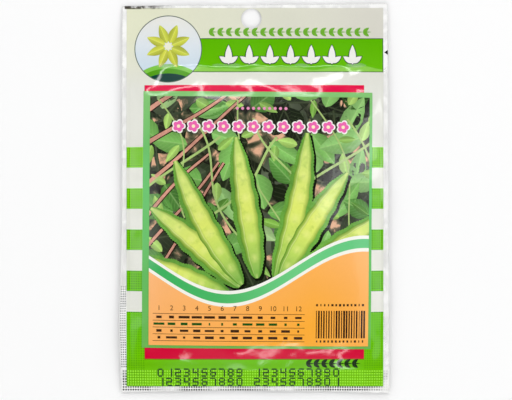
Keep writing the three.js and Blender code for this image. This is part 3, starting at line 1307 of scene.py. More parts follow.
@dataclass(frozen=True)
class LabelArt:
    """Where the label's print lies, in millimetres of the label's own turned axes."""

    sheet: Rectangle = Rectangle(1.3, -10.6, 110.6, 123.9, -0.4)
    window_left: float = -52.0
    window_right: float = 54.0
    window_top: float = 59.5
    window_bottom: float = -60.6
    sweep_white: float = 1.7
    sweep_green: float = 4.4
    sweep_middle: float = -20.5
    sweep_height: float = 13.5
    sweep_trough: float = -14.0
    sweep_length: float = 21.0
    depth_unit: float = 100.0

    def edge(self, x: float) -> float:
        """The height of the orange panel's upper edge."""
        return self.sweep_middle - self.sweep_height * math.cos((x - self.sweep_trough) / self.sweep_length)


@dataclass(frozen=True)
class ClearFilm(Finish):
    """Unprinted clear film."""

    alpha: float = 0.12
    colour: Colour = (0.98, 0.98, 0.97, 1.0)

    def paint(self, graph: Graph) -> Paint:
        """One thin grey, mostly clear."""
        return self.colour, film_haze(graph, self.alpha)


@dataclass(frozen=True)
class SeedCoat(Finish):
    """A dried seed's smooth brown coat, each seed a little different, with a pale scar."""

    def paint(self, graph: Graph) -> Paint:
        """Brown by seed, mottled, with the scar at one side of the map."""
        tint = graph.add("ShaderNodeAttribute", attribute_name="tint").outputs["Fac"]
        base = ramp(
            graph, tint, 0.0, 1.0, [ink(98, 60, 34), ink(126, 82, 48), ink(150, 104, 66), ink(112, 66, 40)]
        )
        flecks = graph.times(graph.minus(graph.noise(700.0, 3.0), 0.5), 2.5, clamp=True)
        parts = graph.surface_map()
        scar = disc(graph, graph.times(parts[0], 14.0), graph.times(parts[1], 6.0), (7.0, 3.0), 0.55)
        return over(graph, base, (graph.times(flecks, 0.4), ink(66, 38, 20)), (scar, ink(222, 204, 176))), 1.0


@dataclass(frozen=True)
class LeafletPaper(Finish):
    """Thin paper with lines of small grey print."""

    def paint(self, graph: Graph) -> Paint:
        """Paper, with short grey rules in rows."""
        plan = Groups.place(graph, "plan")
        rows = graph.math("FRACT", graph.math("DIVIDE", plan["Y"], 4.2))
        line = graph.math("LESS_THAN", rows, 0.22)
        words = graph.times(line, graph.math("GREATER_THAN", graph.noise(420.0), 0.46))
        words = graph.times(words, panel(graph, plan, (-34.0, -60.0), (38.0, 36.0)))
        return over(graph, ink(240, 236, 222), (graph.times(words, 0.6), ink(90, 90, 88))), 1.0


# ---- Films and their seals ----


def graded(count: int, dense_at: Sequence[float], spread: float = 0.07, boost: float = 1.2) -> Array:
    """Shares from 0 to 1 that lie closer together near some places.

    Args:
        count: How many intervals there are.
        dense_at: The shares round which they are closest.
        spread: How far each such place reaches.
        boost: How much closer they get.

    Returns:
        count + 1 rising shares.
    """
    fine = np.linspace(0.0, 1.0, 2001)
    weight = 1.0 + boost * sum(np.exp(-(((fine - place) / spread) ** 2)) for place in dense_at)
    total = np.concatenate([[0.0], np.cumsum((weight[1:] + weight[:-1]) / 2)])
    return np.interp(np.linspace(0.0, total[-1], count + 1), total, fine)


@dataclass(frozen=True)
class EdgeStrip:
    """A strip along one side of the packet, measured inwards from the cut edge."""

    form: PacketForm
    right_side: bool

    def place(self, x: Array, y: Array) -> tuple[Array, Array]:
        """Move points from distance inside the edge onto the packet's plane."""
        v = (y - self.form.bottom) / (self.form.top - self.form.bottom)
        edge, _ = self.form.plan(np.full_like(v, 1.0 if self.right_side else 0.0), v)
        return (edge - x if self.right_side else edge + x), y


@dataclass
class Films:
    """The printed front film and the clear back film, with the marks of the sealing jaws."""

    form: PacketForm
    columns: int = 148
    rows: int = 214
    hole_reach: float = 6.2
    hole_rings: int = 4
    crimp_columns: int = 109
    crimp_rows: int = 8
    crimp_pitch: Pair = (1.18, 1.3)
    crimp_centre: Pair = (0.35, -88.2)
    crimp_rise: float = 0.1
    knurl_rows: int = 124
    shaded_knurl_rows: int = 34
    knurl_pitch: float = 1.17
    knurl_bottom: float = -81.5
    knurl_inset: float = 1.75

    def skin(self) -> Skin:
        """The films' plan, with rings of quads round the hang hole."""
        form = self.form
        u, v = np.meshgrid(graded(self.columns, (0.06, 0.94)), graded(self.rows, (0.06, 0.8)))
        x, y = form.plan(u, v)
        row = int(np.argmin(np.abs(y[:, 0] - form.hole_y)))
        column = int(np.argmin(np.abs(x[row] - form.hole_x)))
        left = int(np.searchsorted(x[row], form.hole_x - self.hole_reach)) - 1
        right = int(np.searchsorted(x[row], form.hole_x + self.hole_reach))
        low = int(np.searchsorted(y[:, column], form.hole_y - self.hole_reach)) - 1
        high = min(int(np.searchsorted(y[:, column], form.hole_y + 0.92 * self.hole_reach)), self.rows - 1)
        width = self.columns + 1
        around = [low * width + i for i in range(left, right)]
        around += [j * width + right for j in range(low, high)]
        around += [high * width + i for i in range(right, left, -1)]
        around += [j * width + left for j in range(high, low, -1)]
        grid = Skin.grid(x, y)
        faces = [
            face
            for index, face in enumerate(grid.faces)
            if not (left <= index % self.columns < right and low <= index // self.columns < high)
        ]
        outer_x, outer_y = grid.x[around], grid.y[around]
        angle = np.arctan2(outer_y - form.hole_y, outer_x - form.hole_x)
        rim_x = form.hole_x + form.hole_radius * np.cos(angle)
        rim_y = form.hole_y + form.hole_radius * np.sin(angle)
        xs, ys, previous = [grid.x], [grid.y], around
        start = len(grid.x)
        for ring in range(1, self.hole_rings + 1):
            t = ring / self.hole_rings
            xs.append(outer_x + (rim_x - outer_x) * t)
            ys.append(outer_y + (rim_y - outer_y) * t)
            current = list(range(start, start + len(around)))
            start += len(around)
            for i in range(len(around)):
                k = (i + 1) % len(around)
                faces.append((previous[i], previous[k], current[k], current[i]))
            previous = current
        return self._used(np.concatenate(xs), np.concatenate(ys), faces)

    @staticmethod
    def _used(x: Array, y: Array, faces: Faces) -> Skin:
        """The same sheet without the points that no face uses."""
        used = sorted({i for face in faces for i in face})
        index = {old: new for new, old in enumerate(used)}
        return Skin(x[used], y[used], [tuple(index[i] for i in face) for face in faces])

    def build(self) -> None:
        """Make both films and their seals, and set them in the frame."""
        form = self.form
        skin = self.skin()
        printed = FilmPrint("printed_film", mottle=0.04).make()
        reverse = FilmPrint("print_reverse", reverse=True, clear_alpha=0.1, mottle=0.02).make()
        clear = ClearFilm("clear_film", mottle=0.02).make()
        front = shell("front_film", skin, form.front, form.front_inner, printed)
        front.data.materials.append(reverse)
        for polygon in front.data.polygons[len(skin.faces) :]:
            polygon.material_index = 1
        place(front, "printed_film", "front_film")
        back = shell("back_film", skin, form.back_inner, form.back, clear)
        place(back, "clear_film", "back_film")
        self._cut_edge()
        self._crimps()
        self._knurls()

    def _cut_edge(self) -> None:
        """The thickened line that the hot cutter leaves round the outline."""
        across = np.linspace(0.002, 0.998, 110)
        sides = (
            (across, np.full_like(across, 0.0012)), (np.full_like(across, 0.9982), across),
            (across[::-1], np.full_like(across, 0.9988)), (np.full_like(across, 0.0018), across[::-1]),
        )
        strips = Strips()
        for u, v in sides:
            line = np.column_stack(self.form.plan(u, v))
            half = np.full(len(line), 0.15)
            strips.add(line, half, half, 1, 0.0)
        finish = ClearFilm("cut_edge", alpha=0.16, colour=(0.2, 0.2, 0.19, 1.0)).make()
        place(drape(strips.make("cut_edge", finish), self.form.front, 0.015), "clear_film")

    def _crimps(self) -> None:
        """The waffle that the jaws press into the bottom seal, front and back, with a painted highlight on
        the front pads and painted shade where they cross the clear margin.
        """
        # The front pads' ink is lightened as a painted highlight, and in the clear margin they are dark grey,
        # painted shade for the dark dots of the pressed film.
        printed = FilmPrint(
            "crimped_print", roughness=0.4, coat=0.0, creases=0.0, clear_colour=ink(44, 42, 38),
            clear_alpha=0.85, patches=(70.0, 0.1), lift=0.75,
        )
        for side, surface, rise, finish, slot in (
            ("front", self.form.front, self.crimp_rise, printed, "printed_film"),
            ("back", self.form.back, -self.crimp_rise, ClearFilm("crimped_film"), "clear_film"),
        ):
            pitch_x, pitch_y = self.crimp_pitch
            motif = pad_motif("crimp_pad", 0.68 * pitch_x, 0.66 * pitch_y, rise, 0.6)
            pattern = Pattern(
                f"{side}_bottom_crimp", motif, finish.make(), columns=self.crimp_columns,
                rows=self.crimp_rows, pitch=self.crimp_pitch, centre=self.crimp_centre,
            )
            place(drape(pattern.make(), surface, -0.01 * math.copysign(1, rise)), slot)

    def _knurls(self) -> None:
        """The crossed ridges of the side seals on the front film, tinted grey as painted shade, and near
        black by the foot.
        """
        # Painted shade: the knurl marks are tinted grey, and near black by the foot, for the dark dots that
        # the pressed film shows.
        faint = FilmPrint(
            "knurled_print", clear_colour=ink(216, 217, 210), clear_alpha=0.24, patches=(60.0, 0.1)
        ).make()
        shaded_knurl = FilmPrint(
            "shaded_knurled_print", clear_colour=ink(36, 36, 32), clear_alpha=1.0, patches=(60.0, 0.65)
        ).make()
        for name, right, rows, columns, finish in (
            ("left_foot", False, (0, self.shaded_knurl_rows), 3, shaded_knurl),
            ("left", False, (self.shaded_knurl_rows, self.knurl_rows), 1, faint),
            ("right", True, (0, self.knurl_rows), 1, faint),
        ):
            motif = pad_motif("knurl_pad", 0.56, 0.6, 0.045, 0.6) if columns > 1 else self._cross()
            middle = self.knurl_bottom + self.knurl_pitch * (sum(rows) - 1) / 2
            pattern = Pattern(
                f"{name}_seal_knurl", motif, finish, columns=columns, rows=rows[1] - rows[0],
                pitch=(0.98, self.knurl_pitch), centre=(self.knurl_inset, middle),
            )
            place(
                drape(pattern.make(), self.form.front, -0.008, on=EdgeStrip(self.form, right)), "printed_film"
            )

    @staticmethod
    def _cross() -> Object:
        """Two closed ridges that cross."""
        ridge = pad_motif("ridge", 3.3, 0.2, 0.045, 0.6).data
        ridges = []
        for angle, lift in ((0.72, 0.001), (-0.72, 0.0)):
            c, s = math.cos(angle), math.sin(angle)
            points = [
                (v.co.x * c - v.co.y * s, v.co.x * s + v.co.y * c, v.co.z + lift) for v in ridge.vertices
            ]
            ridges.append((points, faces_of(ridge)))
        return joined("cross", ridges)


def place(piece: Object, slot: str, *nodes: str) -> Object:
    """Fix a finished piece to the frame, and hide the nodes that it replaces.

    Args:
        piece: The finished object.
        slot: Not used.
        nodes: The nodes that it replaces.

    Returns:
        The same object.
    """
    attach(piece, "root")
    if nodes:
        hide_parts(*nodes)
    log.info("%s: %d faces", piece.name, len(piece.data.polygons))
    return piece


# ---- Ink laid over the film and the label ----


@dataclass
class Strips:
    """Flat strips of quads along centre lines, with a map that runs along and across each."""

    points: list[Point] = field(default_factory=list)
    faces: Faces = field(default_factory=list)
    uvs: list[Pair] = field(default_factory=list)

    def add(self, line: Array, low: Array, high: Array, across: int, z: float) -> None:
        """Add a strip.

        Args:
            line: Its centre line, one point to a row.
            low: How far it reaches to the right of the line at each point.
            high: How far it reaches to the left.
            across: How many quads wide it is.
            z: Its height above the sheet.
        """
        tangent = np.gradient(line, axis=0)
        tangent /= np.linalg.norm(tangent, axis=1)[:, None]
        normal = np.column_stack([-tangent[:, 1], tangent[:, 0]])
        start, count = len(self.points), len(line)
        for i in range(count):
            for j in range(across + 1):
                share = j / across
                reach = -low[i] + (low[i] + high[i]) * share
                x, y = line[i] + normal[i] * reach
                self.points.append((float(x), float(y), z))
                self.uvs.append((i / (count - 1), share))
        step = across + 1
        for i in range(count - 1):
            for j in range(across):
                a = start + i * step + j
                self.faces.append((a, a + step, a + step + 1, a + 1))

    def make(self, name: str, finish: Material) -> Object:
        """The strips as one flat object, linked to the scene."""
        mesh = bpy.data.meshes.new(name)
        mesh.from_pydata(self.points, [], self.faces)
        layer = mesh.uv_layers.new(name="UVMap")
        for loop in mesh.loops:
            layer.data[loop.index].uv = self.uvs[loop.vertex_index]
        mesh.materials.append(finish)
        return linked(name, mesh)


def numerals(name: str, texts: Sequence[tuple[str, float, float]], size: float, finish: Material) -> Object:
    """Plain numbers as one flat mesh.

    Args:
        name: The piece's name.
        texts: Each number with the place of its middle.
        size: The height of the type.
        finish: Its ink.

    Returns:
        The flat piece, linked to the scene.
    """
    shapes = []
    for text, x, y in texts:
        curve = bpy.data.curves.new("number", "FONT")
        curve.body, curve.size, curve.align_x, curve.align_y = text, size, "CENTER", "CENTER"
        holder = linked("number", curve)
        evaluated = holder.evaluated_get(bpy.context.evaluated_depsgraph_get())
        mesh = bpy.data.meshes.new_from_object(evaluated)
        shapes.append(([(v.co.x + x, v.co.y + y, 0.0) for v in mesh.vertices], faces_of(mesh)))
        bpy.data.objects.remove(holder)
        bpy.data.meshes.remove(mesh)
    piece = joined(name, shapes)
    piece.data.materials.append(finish)
    bpy.context.scene.collection.objects.link(piece)
    return piece


def spray(name: str, leaves: Sequence[tuple[float, float, float, float, float]], grow: float = 0.0) -> Object:
    """A motif of several leaves.

    Args:
        name: The working object's name.
        leaves: For each leaf, its base x and y, its direction in degrees, its length and its width.
        grow: How much larger each leaf is all round, for an outline laid beneath.

    Returns:
        The flat motif.
    """
    shapes = []
    for x, y, direction, length, width in leaves:
        leaf = leaf_motif("leaf", length + 2 * grow, width + 2 * grow).data
        angle = math.radians(direction)
        c, s = math.cos(angle), math.sin(angle)
        spots = [(vertex.co.x - grow, vertex.co.y) for vertex in leaf.vertices]
        points = [(x + along * c - across * s, y + along * s + across * c, 0.0) for along, across in spots]
        shapes.append((points, faces_of(leaf)))
    return joined(name, shapes)


@dataclass
class HeaderPrint:
    """The generic print of the header and the numbers on the foot."""

    form: PacketForm
    badge: Pair = (-41.7, 73.6)
    petals: int = 8
    sprigs: int = 7
    sprig_pitch: float = 10.0
    sprig_centre: Pair = (17.5, 69.2)
    garland_twigs: int = 19
    garland_pitch: float = 4.15
    garland_centre: Pair = (17.2, 80.5)
    foot_twigs: int = 7
    foot_pitch: float = 3.7
    foot_centre: Pair = (38.0, -79.9)
    dot_pitch: float = 0.57
    digit_pitch: float = 4.25
    digits_left: float = -46.6
    digit_rows: Pair = (-84.4, -88.9)

    SEGMENTS = ("abcdef", "bc", "abged", "abgcd", "fgbc", "afgcd", "afgedc", "abc", "abcdefg", "abcdfg")

    def build(self) -> None:
        """Lay every part of the print on the front film."""
        self._rosette()
        self._sprigs()
        self._garland()
        self._digits()

    def _lay(self, pattern: Pattern, lift: float, carrier: Object | None = None) -> None:
        """Make a pattern and lay it on the film."""
        place(drape(pattern.make(carrier), self.form.front, lift), "printed_film")

    def _rosette(self) -> None:
        """Petals round the middle of the badge, over wider pale ones."""
        petal = leaf_motif("petal", 9.6, 4.4, steps=12)
        colours = (ink(214, 222, 74), ink(226, 230, 84), ink(206, 218, 78))
        finish = TintedInk("petal_ink", colours=colours, vein=ink(240, 244, 170), vein_strength=0.4).make()
        self._lay(
            Pattern("badge_rosette", petal, finish, Repeat.RING, columns=self.petals, pitch=(1.6, 0.0),
                    centre=self.badge, turn=math.pi / 8, layer_step=0.004), 0.02,
        )
        middle = disc_motif("middle", 1.7, 24)
        heart = plain_ink("rosette_middle_ink", 236, 236, 214)
        self._lay(Pattern("rosette_middle", middle, heart, centre=self.badge), 0.05)

    def _sprigs(self) -> None:
        """A row of white sprigs with dark outlines in the green band."""
        leaves = [(0.0, -4.4, 90, 9.4, 3.3), (0.0, -3.6, 34, 5.4, 2.6), (0.0, -3.6, 146, 5.4, 2.6)]
        for name, grow, lift, colour in (
            ("sprig_outlines", 0.45, 0.02, (30, 70, 34)),
            ("band_sprigs", 0.0, 0.035, (240, 240, 234)),
        ):
            finish = plain_ink(f"{name}_ink", *colour)
            self._lay(
                Pattern(name, spray(name, leaves, grow), finish, columns=self.sprigs,
                        pitch=(self.sprig_pitch, 1.0), centre=self.sprig_centre), lift,
            )

    def _garland(self) -> None:
        """A thin green garland above the band, and a short dark one in the foot."""
        twig = spray(
            "twig", [(-1.9, 0.0, 36, 3.6, 1.7), (-1.9, 0.0, -36, 3.6, 1.7), (-2.1, 0.0, 0, 4.3, 0.6)]
        )
        for name, colour, columns, pitch, centre in (
            ("header_garland", (112, 176, 52), self.garland_twigs, self.garland_pitch, self.garland_centre),
            ("foot_garland", (16, 44, 4), self.foot_twigs, self.foot_pitch, self.foot_centre),
        ):
            finish = plain_ink(f"{name}_ink", *colour)
            self._lay(Pattern(name, twig, finish, columns=columns, pitch=(pitch, 1.0), centre=centre), 0.02)

    @staticmethod
    def _digit_dots(lit: str) -> list[tuple[int, int]]:
        """The dots of one digit, five wide and seven high, from the segments that it lights, a to g."""
        levels = {"a": 6, "g": 3, "d": 0}
        dots = [(i, levels[s]) for s in lit if s in levels for i in (1, 2, 3)]
        posts = {"f": (0, 4), "b": (4, 4), "e": (0, 1), "c": (4, 1)}
        dots += [(posts[s][0], posts[s][1] + i) for s in lit if s in posts for i in (0, 1)]
        joints = {(0, 6): "af", (4, 6): "ab", (0, 0): "de", (4, 0): "cd", (0, 3): "efg", (4, 3): "bcg"}
        return dots + [
            at for at, meeting in joints.items() if sum(s in lit for s in meeting) == len(meeting) - 1
        ]

    def _digits(self) -> None:
        """Two rows of plain sequential dot-matrix digits across the crimped foot."""
        dots = []
        for row, y in enumerate(self.digit_rows):
            for place_in_row in range(21):
                if place_in_row == 10:
                    continue
                left = self.digits_left + place_in_row * self.digit_pitch
                for i, j in self._digit_dots(self.SEGMENTS[(place_in_row + row) % 10]):
                    dots.append((left + i * self.dot_pitch, y + (j - 3) * self.dot_pitch, 0.0))
        carrier = bpy.data.objects.new("dots", bpy.data.meshes.new("dots"))
        carrier.data.from_pydata(dots, [], [])
        finish = plain_ink("date_ink", 6, 58, 0, coat=0.0, roughness=0.7, creases=0.0)
        self._lay(
            Pattern("foot_numbers", disc_motif("dot", 0.37, 8), finish, Repeat.POINTS),
            Films.crimp_rise + 0.02, carrier
        )


@dataclass
class LabelPrint:
    """The label and the generic design printed on it."""

    form: PacketForm
    art: LabelArt
    columns: int = 120
    rows: int = 134
    fan: tuple[float, ...] = (-70.0, -49.0, -29.0, -9.0, 12.0, 32.0, 53.0, 74.0)
    hub: Pair = (3.0, -44.0)
    pod_width: float = 12.6
    title_flowers: int = 12
    title_pitch: float = 7.2
    title_y: float = 45.0
    months: int = 12
    month_pitch: float = 6.1
    chart_middle: float = -13.4

    def build(self) -> None:
        """Make the label and lay its print on it, layer by layer."""
        self._sheet()
        self._foliage()
        self._stems()
        self._pods()
        self._panel()
        self._title()
        self._chart()

    def _sheet(self) -> None:
        """The label's own sheet."""
        sheet = self.art.sheet
        across = np.linspace(-sheet.width / 2, sheet.width / 2, self.columns + 1)
        up = np.linspace(-sheet.height / 2, sheet.height / 2, self.rows + 1)
        x, y = sheet.place(*np.meshgrid(across, up))
        form = self.form
        label = shell(
            "label", Skin.grid(x, y), form.label_face, lambda px, py: form.front(px, py) + LABEL_GLUE,
            LabelGround("label_ground", roughness=0.16, coat=0.12).make(),
        )
        place(label, "label_stock", "label")

    def _lay(self, piece: Object, lift: float) -> None:
        """Lay a flat piece, measured from the label's middle, on its face."""
        place(drape(piece, self.form.label_face, lift, on=self.art.sheet), "label_stock")

    def _lay_in_window(self, piece: Object, lift: float) -> None:
        """Cut a flat piece off at the picture's edges, and lay it on the label."""
        art = self.art
        trim(piece, (art.window_left, art.window_bottom), (art.window_right, art.window_top))
        self._lay(piece, lift)

    def _foliage(self) -> None:
        """Three layers of leaves, from large and dull to small and bright."""
        layers = (
            (
                "far_leaves", 25.0, 15.0, (9, 7), (13.0, 15.5, 6.0), 3, ink(96, 108, 78),
                (ink(22, 24, 18), ink(44, 52, 34), ink(76, 88, 66), ink(34, 44, 26), ink(112, 120, 100)),
            ),
            (
                "middle_leaves", 19.0, 11.5, (8, 6), (15.0, 18.6, 6.0), 8, ink(176, 212, 136),
                (
                    ink(48, 86, 34), ink(100, 164, 74), ink(134, 198, 100), ink(146, 208, 116),
                    ink(176, 206, 146),
                ),
            ),
            (
                "near_leaves", 10.0, 4.8, (8, 6), (14.6, 18.0, 4.0), 21, ink(208, 232, 156),
                (ink(72, 134, 48), ink(146, 204, 84), ink(192, 232, 122), ink(112, 172, 72)),
            ),
        )
        for level, (name, length, width, (columns, rows), pitch, seed, vein, colours) in enumerate(layers):
            finish = TintedInk(
                f"{name}_ink", colours=colours, vein=vein, vein_strength=0.38, mottle=0.3
            ).make()
            pattern = Pattern(
                name, leaf_motif("leaf", length, width, steps=14, lobes=0.03), finish,
                columns=columns, rows=rows, pitch=pitch, centre=(1.0, 10.0), shift=(4.0, 4.0, 0.0),
                turn_spread=math.pi, smallest=(0.7, 0.7, 1.0), largest=(1.15, 1.15, 1.0),
                layer_step=0.003, seed=seed,
            )
            self._lay_in_window(pattern.make(), 0.015 + 0.022 * level)

    def _stems(self) -> None:
        """Thin pale stems, and brown twigs, that wander through the leaves."""
        strips = Strips()
        for k in range(9):
            t = np.linspace(0.0, 1.0, 40)
            start = np.array([-48 + 12.5 * k, 58 - 9 * (k % 3)])
            lean = math.radians(-90 + 46 * math.sin(2.1 * k + 0.4))
            line = start + np.outer(t * (60 + 8 * (k % 4)), (math.cos(lean), math.sin(lean)))
            line[:, 0] += 5.5 * np.sin(5.0 * t + k)
            half = np.full(40, 0.36 + 0.12 * (k % 3))
            strips.add(line, half, half, 1, 0.002 * k)
        finish = plain_ink("stem_ink", 168, 196, 118, mottle=0.3)
        self._lay_in_window(strips.make("picture_stems", finish), 0.082)
        outlines, twigs = Strips(), Strips()
        for k in range(6):
            t = np.linspace(0.0, 1.0, 30)
            start = np.array([-54.0, 52.0 - 17 * k])
            line = start + np.outer(
                t * (44 + 13 * (k % 3)), (math.cos(0.5 + 0.1 * k), math.sin(0.5 + 0.1 * k))
            )
            line[:, 1] += 1.6 * np.sin(4.0 * t + 2 * k)
            half = np.linspace(1.1 - 0.1 * k, 0.5, 30)
            outlines.add(line, half + 0.5, half + 0.35, 2, 0.0)
            twigs.add(line, half, half, 2, 0.002 * k)
        dark = plain_ink("twig_outline_ink", 48, 24, 14)
        self._lay_in_window(outlines.make("twig_outlines", dark), 0.068)
        bark = plain_ink("twig_ink", 204, 148, 128, mottle=0.7)
        self._lay_in_window(twigs.make("picture_twigs", bark), 0.074)

    def _pods(self) -> None:
        """A fan of plain pods with frilled wings, each over its own dark shadow."""
        shadows, wings, pods = Strips(), Strips(), Strips()
        samples, stalk = 181, 16
        for k, direction in enumerate(self.fan):
            reach = 92.0 - 0.28 * abs(direction) - 5.0 * (k % 2)
            t = np.linspace(0.0, 1.0, samples)
            bend = math.radians(9.0 * math.sin(1.9 * k + 0.5))
            heading = math.radians(90 - direction) + bend * (2 * t - 1)
            steps = np.column_stack([np.cos(heading), np.sin(heading)]) * (reach - stalk) / (samples - 1)
            line = np.array(self.hub) + stalk * steps[0] / np.linalg.norm(steps[0]) + np.cumsum(steps, axis=0)
            bulge = 1 + 0.05 * np.cos(2 * math.pi * PodInk.beans * t)
            half = self.pod_width / 2 * np.sin(math.pi * np.clip(t, 0.004, 0.985) ** 0.85) ** 0.55 * bulge
            frill = 0.45 * np.abs(np.sin(math.pi * 46 * t)) * smooth(0.0, 0.06, t) * smooth(1.0, 0.94, t)
            narrow, every = 0.76 * half, slice(None, None, 4)
            wings.add(line, half + frill, half + frill, 2, 0.004 * k)
            pods.add(line[every], narrow[every], narrow[every], 6, 0.004 * k)
            shadows.add(line[every] + np.array([0.9, -1.1]), half[every] + 0.5, half[every] + 0.5, 2, 0.0)
        shade = plain_ink("pod_shadow_ink", 16, 22, 10)
        self._lay_in_window(shadows.make("pod_shadows", shade), 0.105)
        wing = plain_ink("wing_ink", 104, 162, 64, mottle=0.5)
        self._lay_in_window(wings.make("pod_wings", wing), 0.12)
        self._lay_in_window(pods.make("picture_pods", PodInk("pod_ink", mottle=0.1).make()), 0.14)

    def _panel(self) -> None:
        """The orange panel and its sweep, over the foot of the picture."""
        art = self.art
        xs = np.linspace(art.window_left, art.window_right, 71)
        shares = np.concatenate([np.linspace(0.0, 0.3, 9), np.linspace(0.36, 1.0, 18)])
        points, uvs = [], []
        for share in shares:
            for x in xs:
                top = art.edge(x)
                y = top + (art.window_bottom - top) * share
                points.append((float(x), float(y), 0.0))
                across = (x - art.window_left) / (art.window_right - art.window_left)
                uvs.append((across, (top - y) / art.depth_unit))
        grid = Skin.grid(*np.meshgrid(xs, -shares))
        strips = Strips(points, [tuple(reversed(face)) for face in grid.faces], uvs)
        self._lay(strips.make("orange_panel", PanelInk("panel_ink", mottle=0.03).make()), 0.19)

    def _title(self) -> None:
        """A row of pink flowers with white outlines, and a thin row of dots above it."""
        for name, radius, lift, colour in (
            ("title_outlines", 3.5, 0.205, (248, 244, 240)),
            ("title_flowers", 2.75, 0.22, (238, 104, 178)),
            ("title_hearts", 0.85, 0.235, (252, 238, 200)),
        ):
            motif = disc_motif(name, radius, 16) if name == "title_hearts" else flower_motif(name, radius)
            pattern = Pattern(
                name, motif, plain_ink(f"{name}_ink", *colour), columns=self.title_flowers,
                pitch=(self.title_pitch, 1.0), centre=(1.5, self.title_y),
            )
            self._lay(pattern.make(), lift)
        dots = Pattern(
            "subtitle_dots", disc_motif("dot", 0.75, 14), plain_ink("subtitle_ink", 236, 150, 190),
            columns=10, pitch=(2.6, 1.0), centre=(1.8, 53.8),
        )
        self._lay(dots.make(), 0.205)

    def _chart(self) -> None:
        """A sowing chart: month numbers over rows of blocks, and a block of plain bars beside it."""
        brown = plain_ink("chart_ink", 62, 38, 18)
        first = self.chart_middle - self.month_pitch * (self.months - 1) / 2
        texts = [(str(m + 1), first + m * self.month_pitch, -42.6) for m in range(self.months)]
        self._lay(numerals("month_numbers", texts, 3.4, brown), 0.205)
        rules = Pattern(
            "chart_rules", block_motif("rule", self.months * self.month_pitch, 0.24), brown, rows=5,
            pitch=(1.0, 3.3), centre=(self.chart_middle, -51.8),
        )
        self._lay(subdivided(rules.make(), 2.0), 0.205)
        for name, y, seed, colour in (
            ("sowing_blocks", -46.85, 4, (62, 38, 18)),
            ("growing_blocks", -50.15, 9, (26, 84, 24)),
            ("picking_blocks", -53.45, 15, (62, 38, 18)),
            ("resting_blocks", -56.75, 2, (62, 38, 18)),
        ):
            blocks = Pattern(
                name, block_motif("block", 5.4, 1.35), plain_ink(f"{name}_ink", *colour),
                columns=self.months, pitch=(self.month_pitch, 1.0), centre=(self.chart_middle, y),
                smallest=(0.12, 0.7, 1.0), largest=(1.0, 1.0, 1.0), seed=seed,
            )
            self._lay(blocks.make(), 0.215)
        bars = Pattern(
            "bar_block", block_motif("bar", 1.25, 13.4), plain_ink("bar_ink", 48, 20, 8),
            columns=20, pitch=(1.22, 1.0), centre=(40.4, -50.0), smallest=(0.25, 1.0, 1.0),
            largest=(0.86, 1.0, 1.0), seed=5,
        )
        self._lay(subdivided(bars.make(), 2.0), 0.205)
        marks = Pattern(
            "bar_marks", block_motif("mark", 1.15, 1.2), brown, columns=13, rows=2, pitch=(1.85, 17.6),
            centre=(40.2, -49.4), smallest=(0.4, 0.8, 1.0), largest=(1.0, 1.0, 1.0), seed=7,
        )
        self._lay(marks.make(), 0.205)


def subdivided(piece: Object, longest: float) -> Object:
    """Cut a flat mesh's long edges, so that it can follow a curved surface.

    Args:
        piece: The mesh, in millimetres.
        longest: The length that its edges are cut down to.

    Returns:
        The same object.
    """
    bm = bmesh.new()
    bm.from_mesh(piece.data)
    for _ in range(8):
        long_edges = [edge for edge in bm.edges if edge.calc_length() > longest]
        if not long_edges:
            break
        bmesh.ops.subdivide_edges(bm, edges=long_edges, cuts=1, use_grid_fill=True)
    bm.to_mesh(piece.data)
    bm.free()
    return piece


# ---- Contents ----


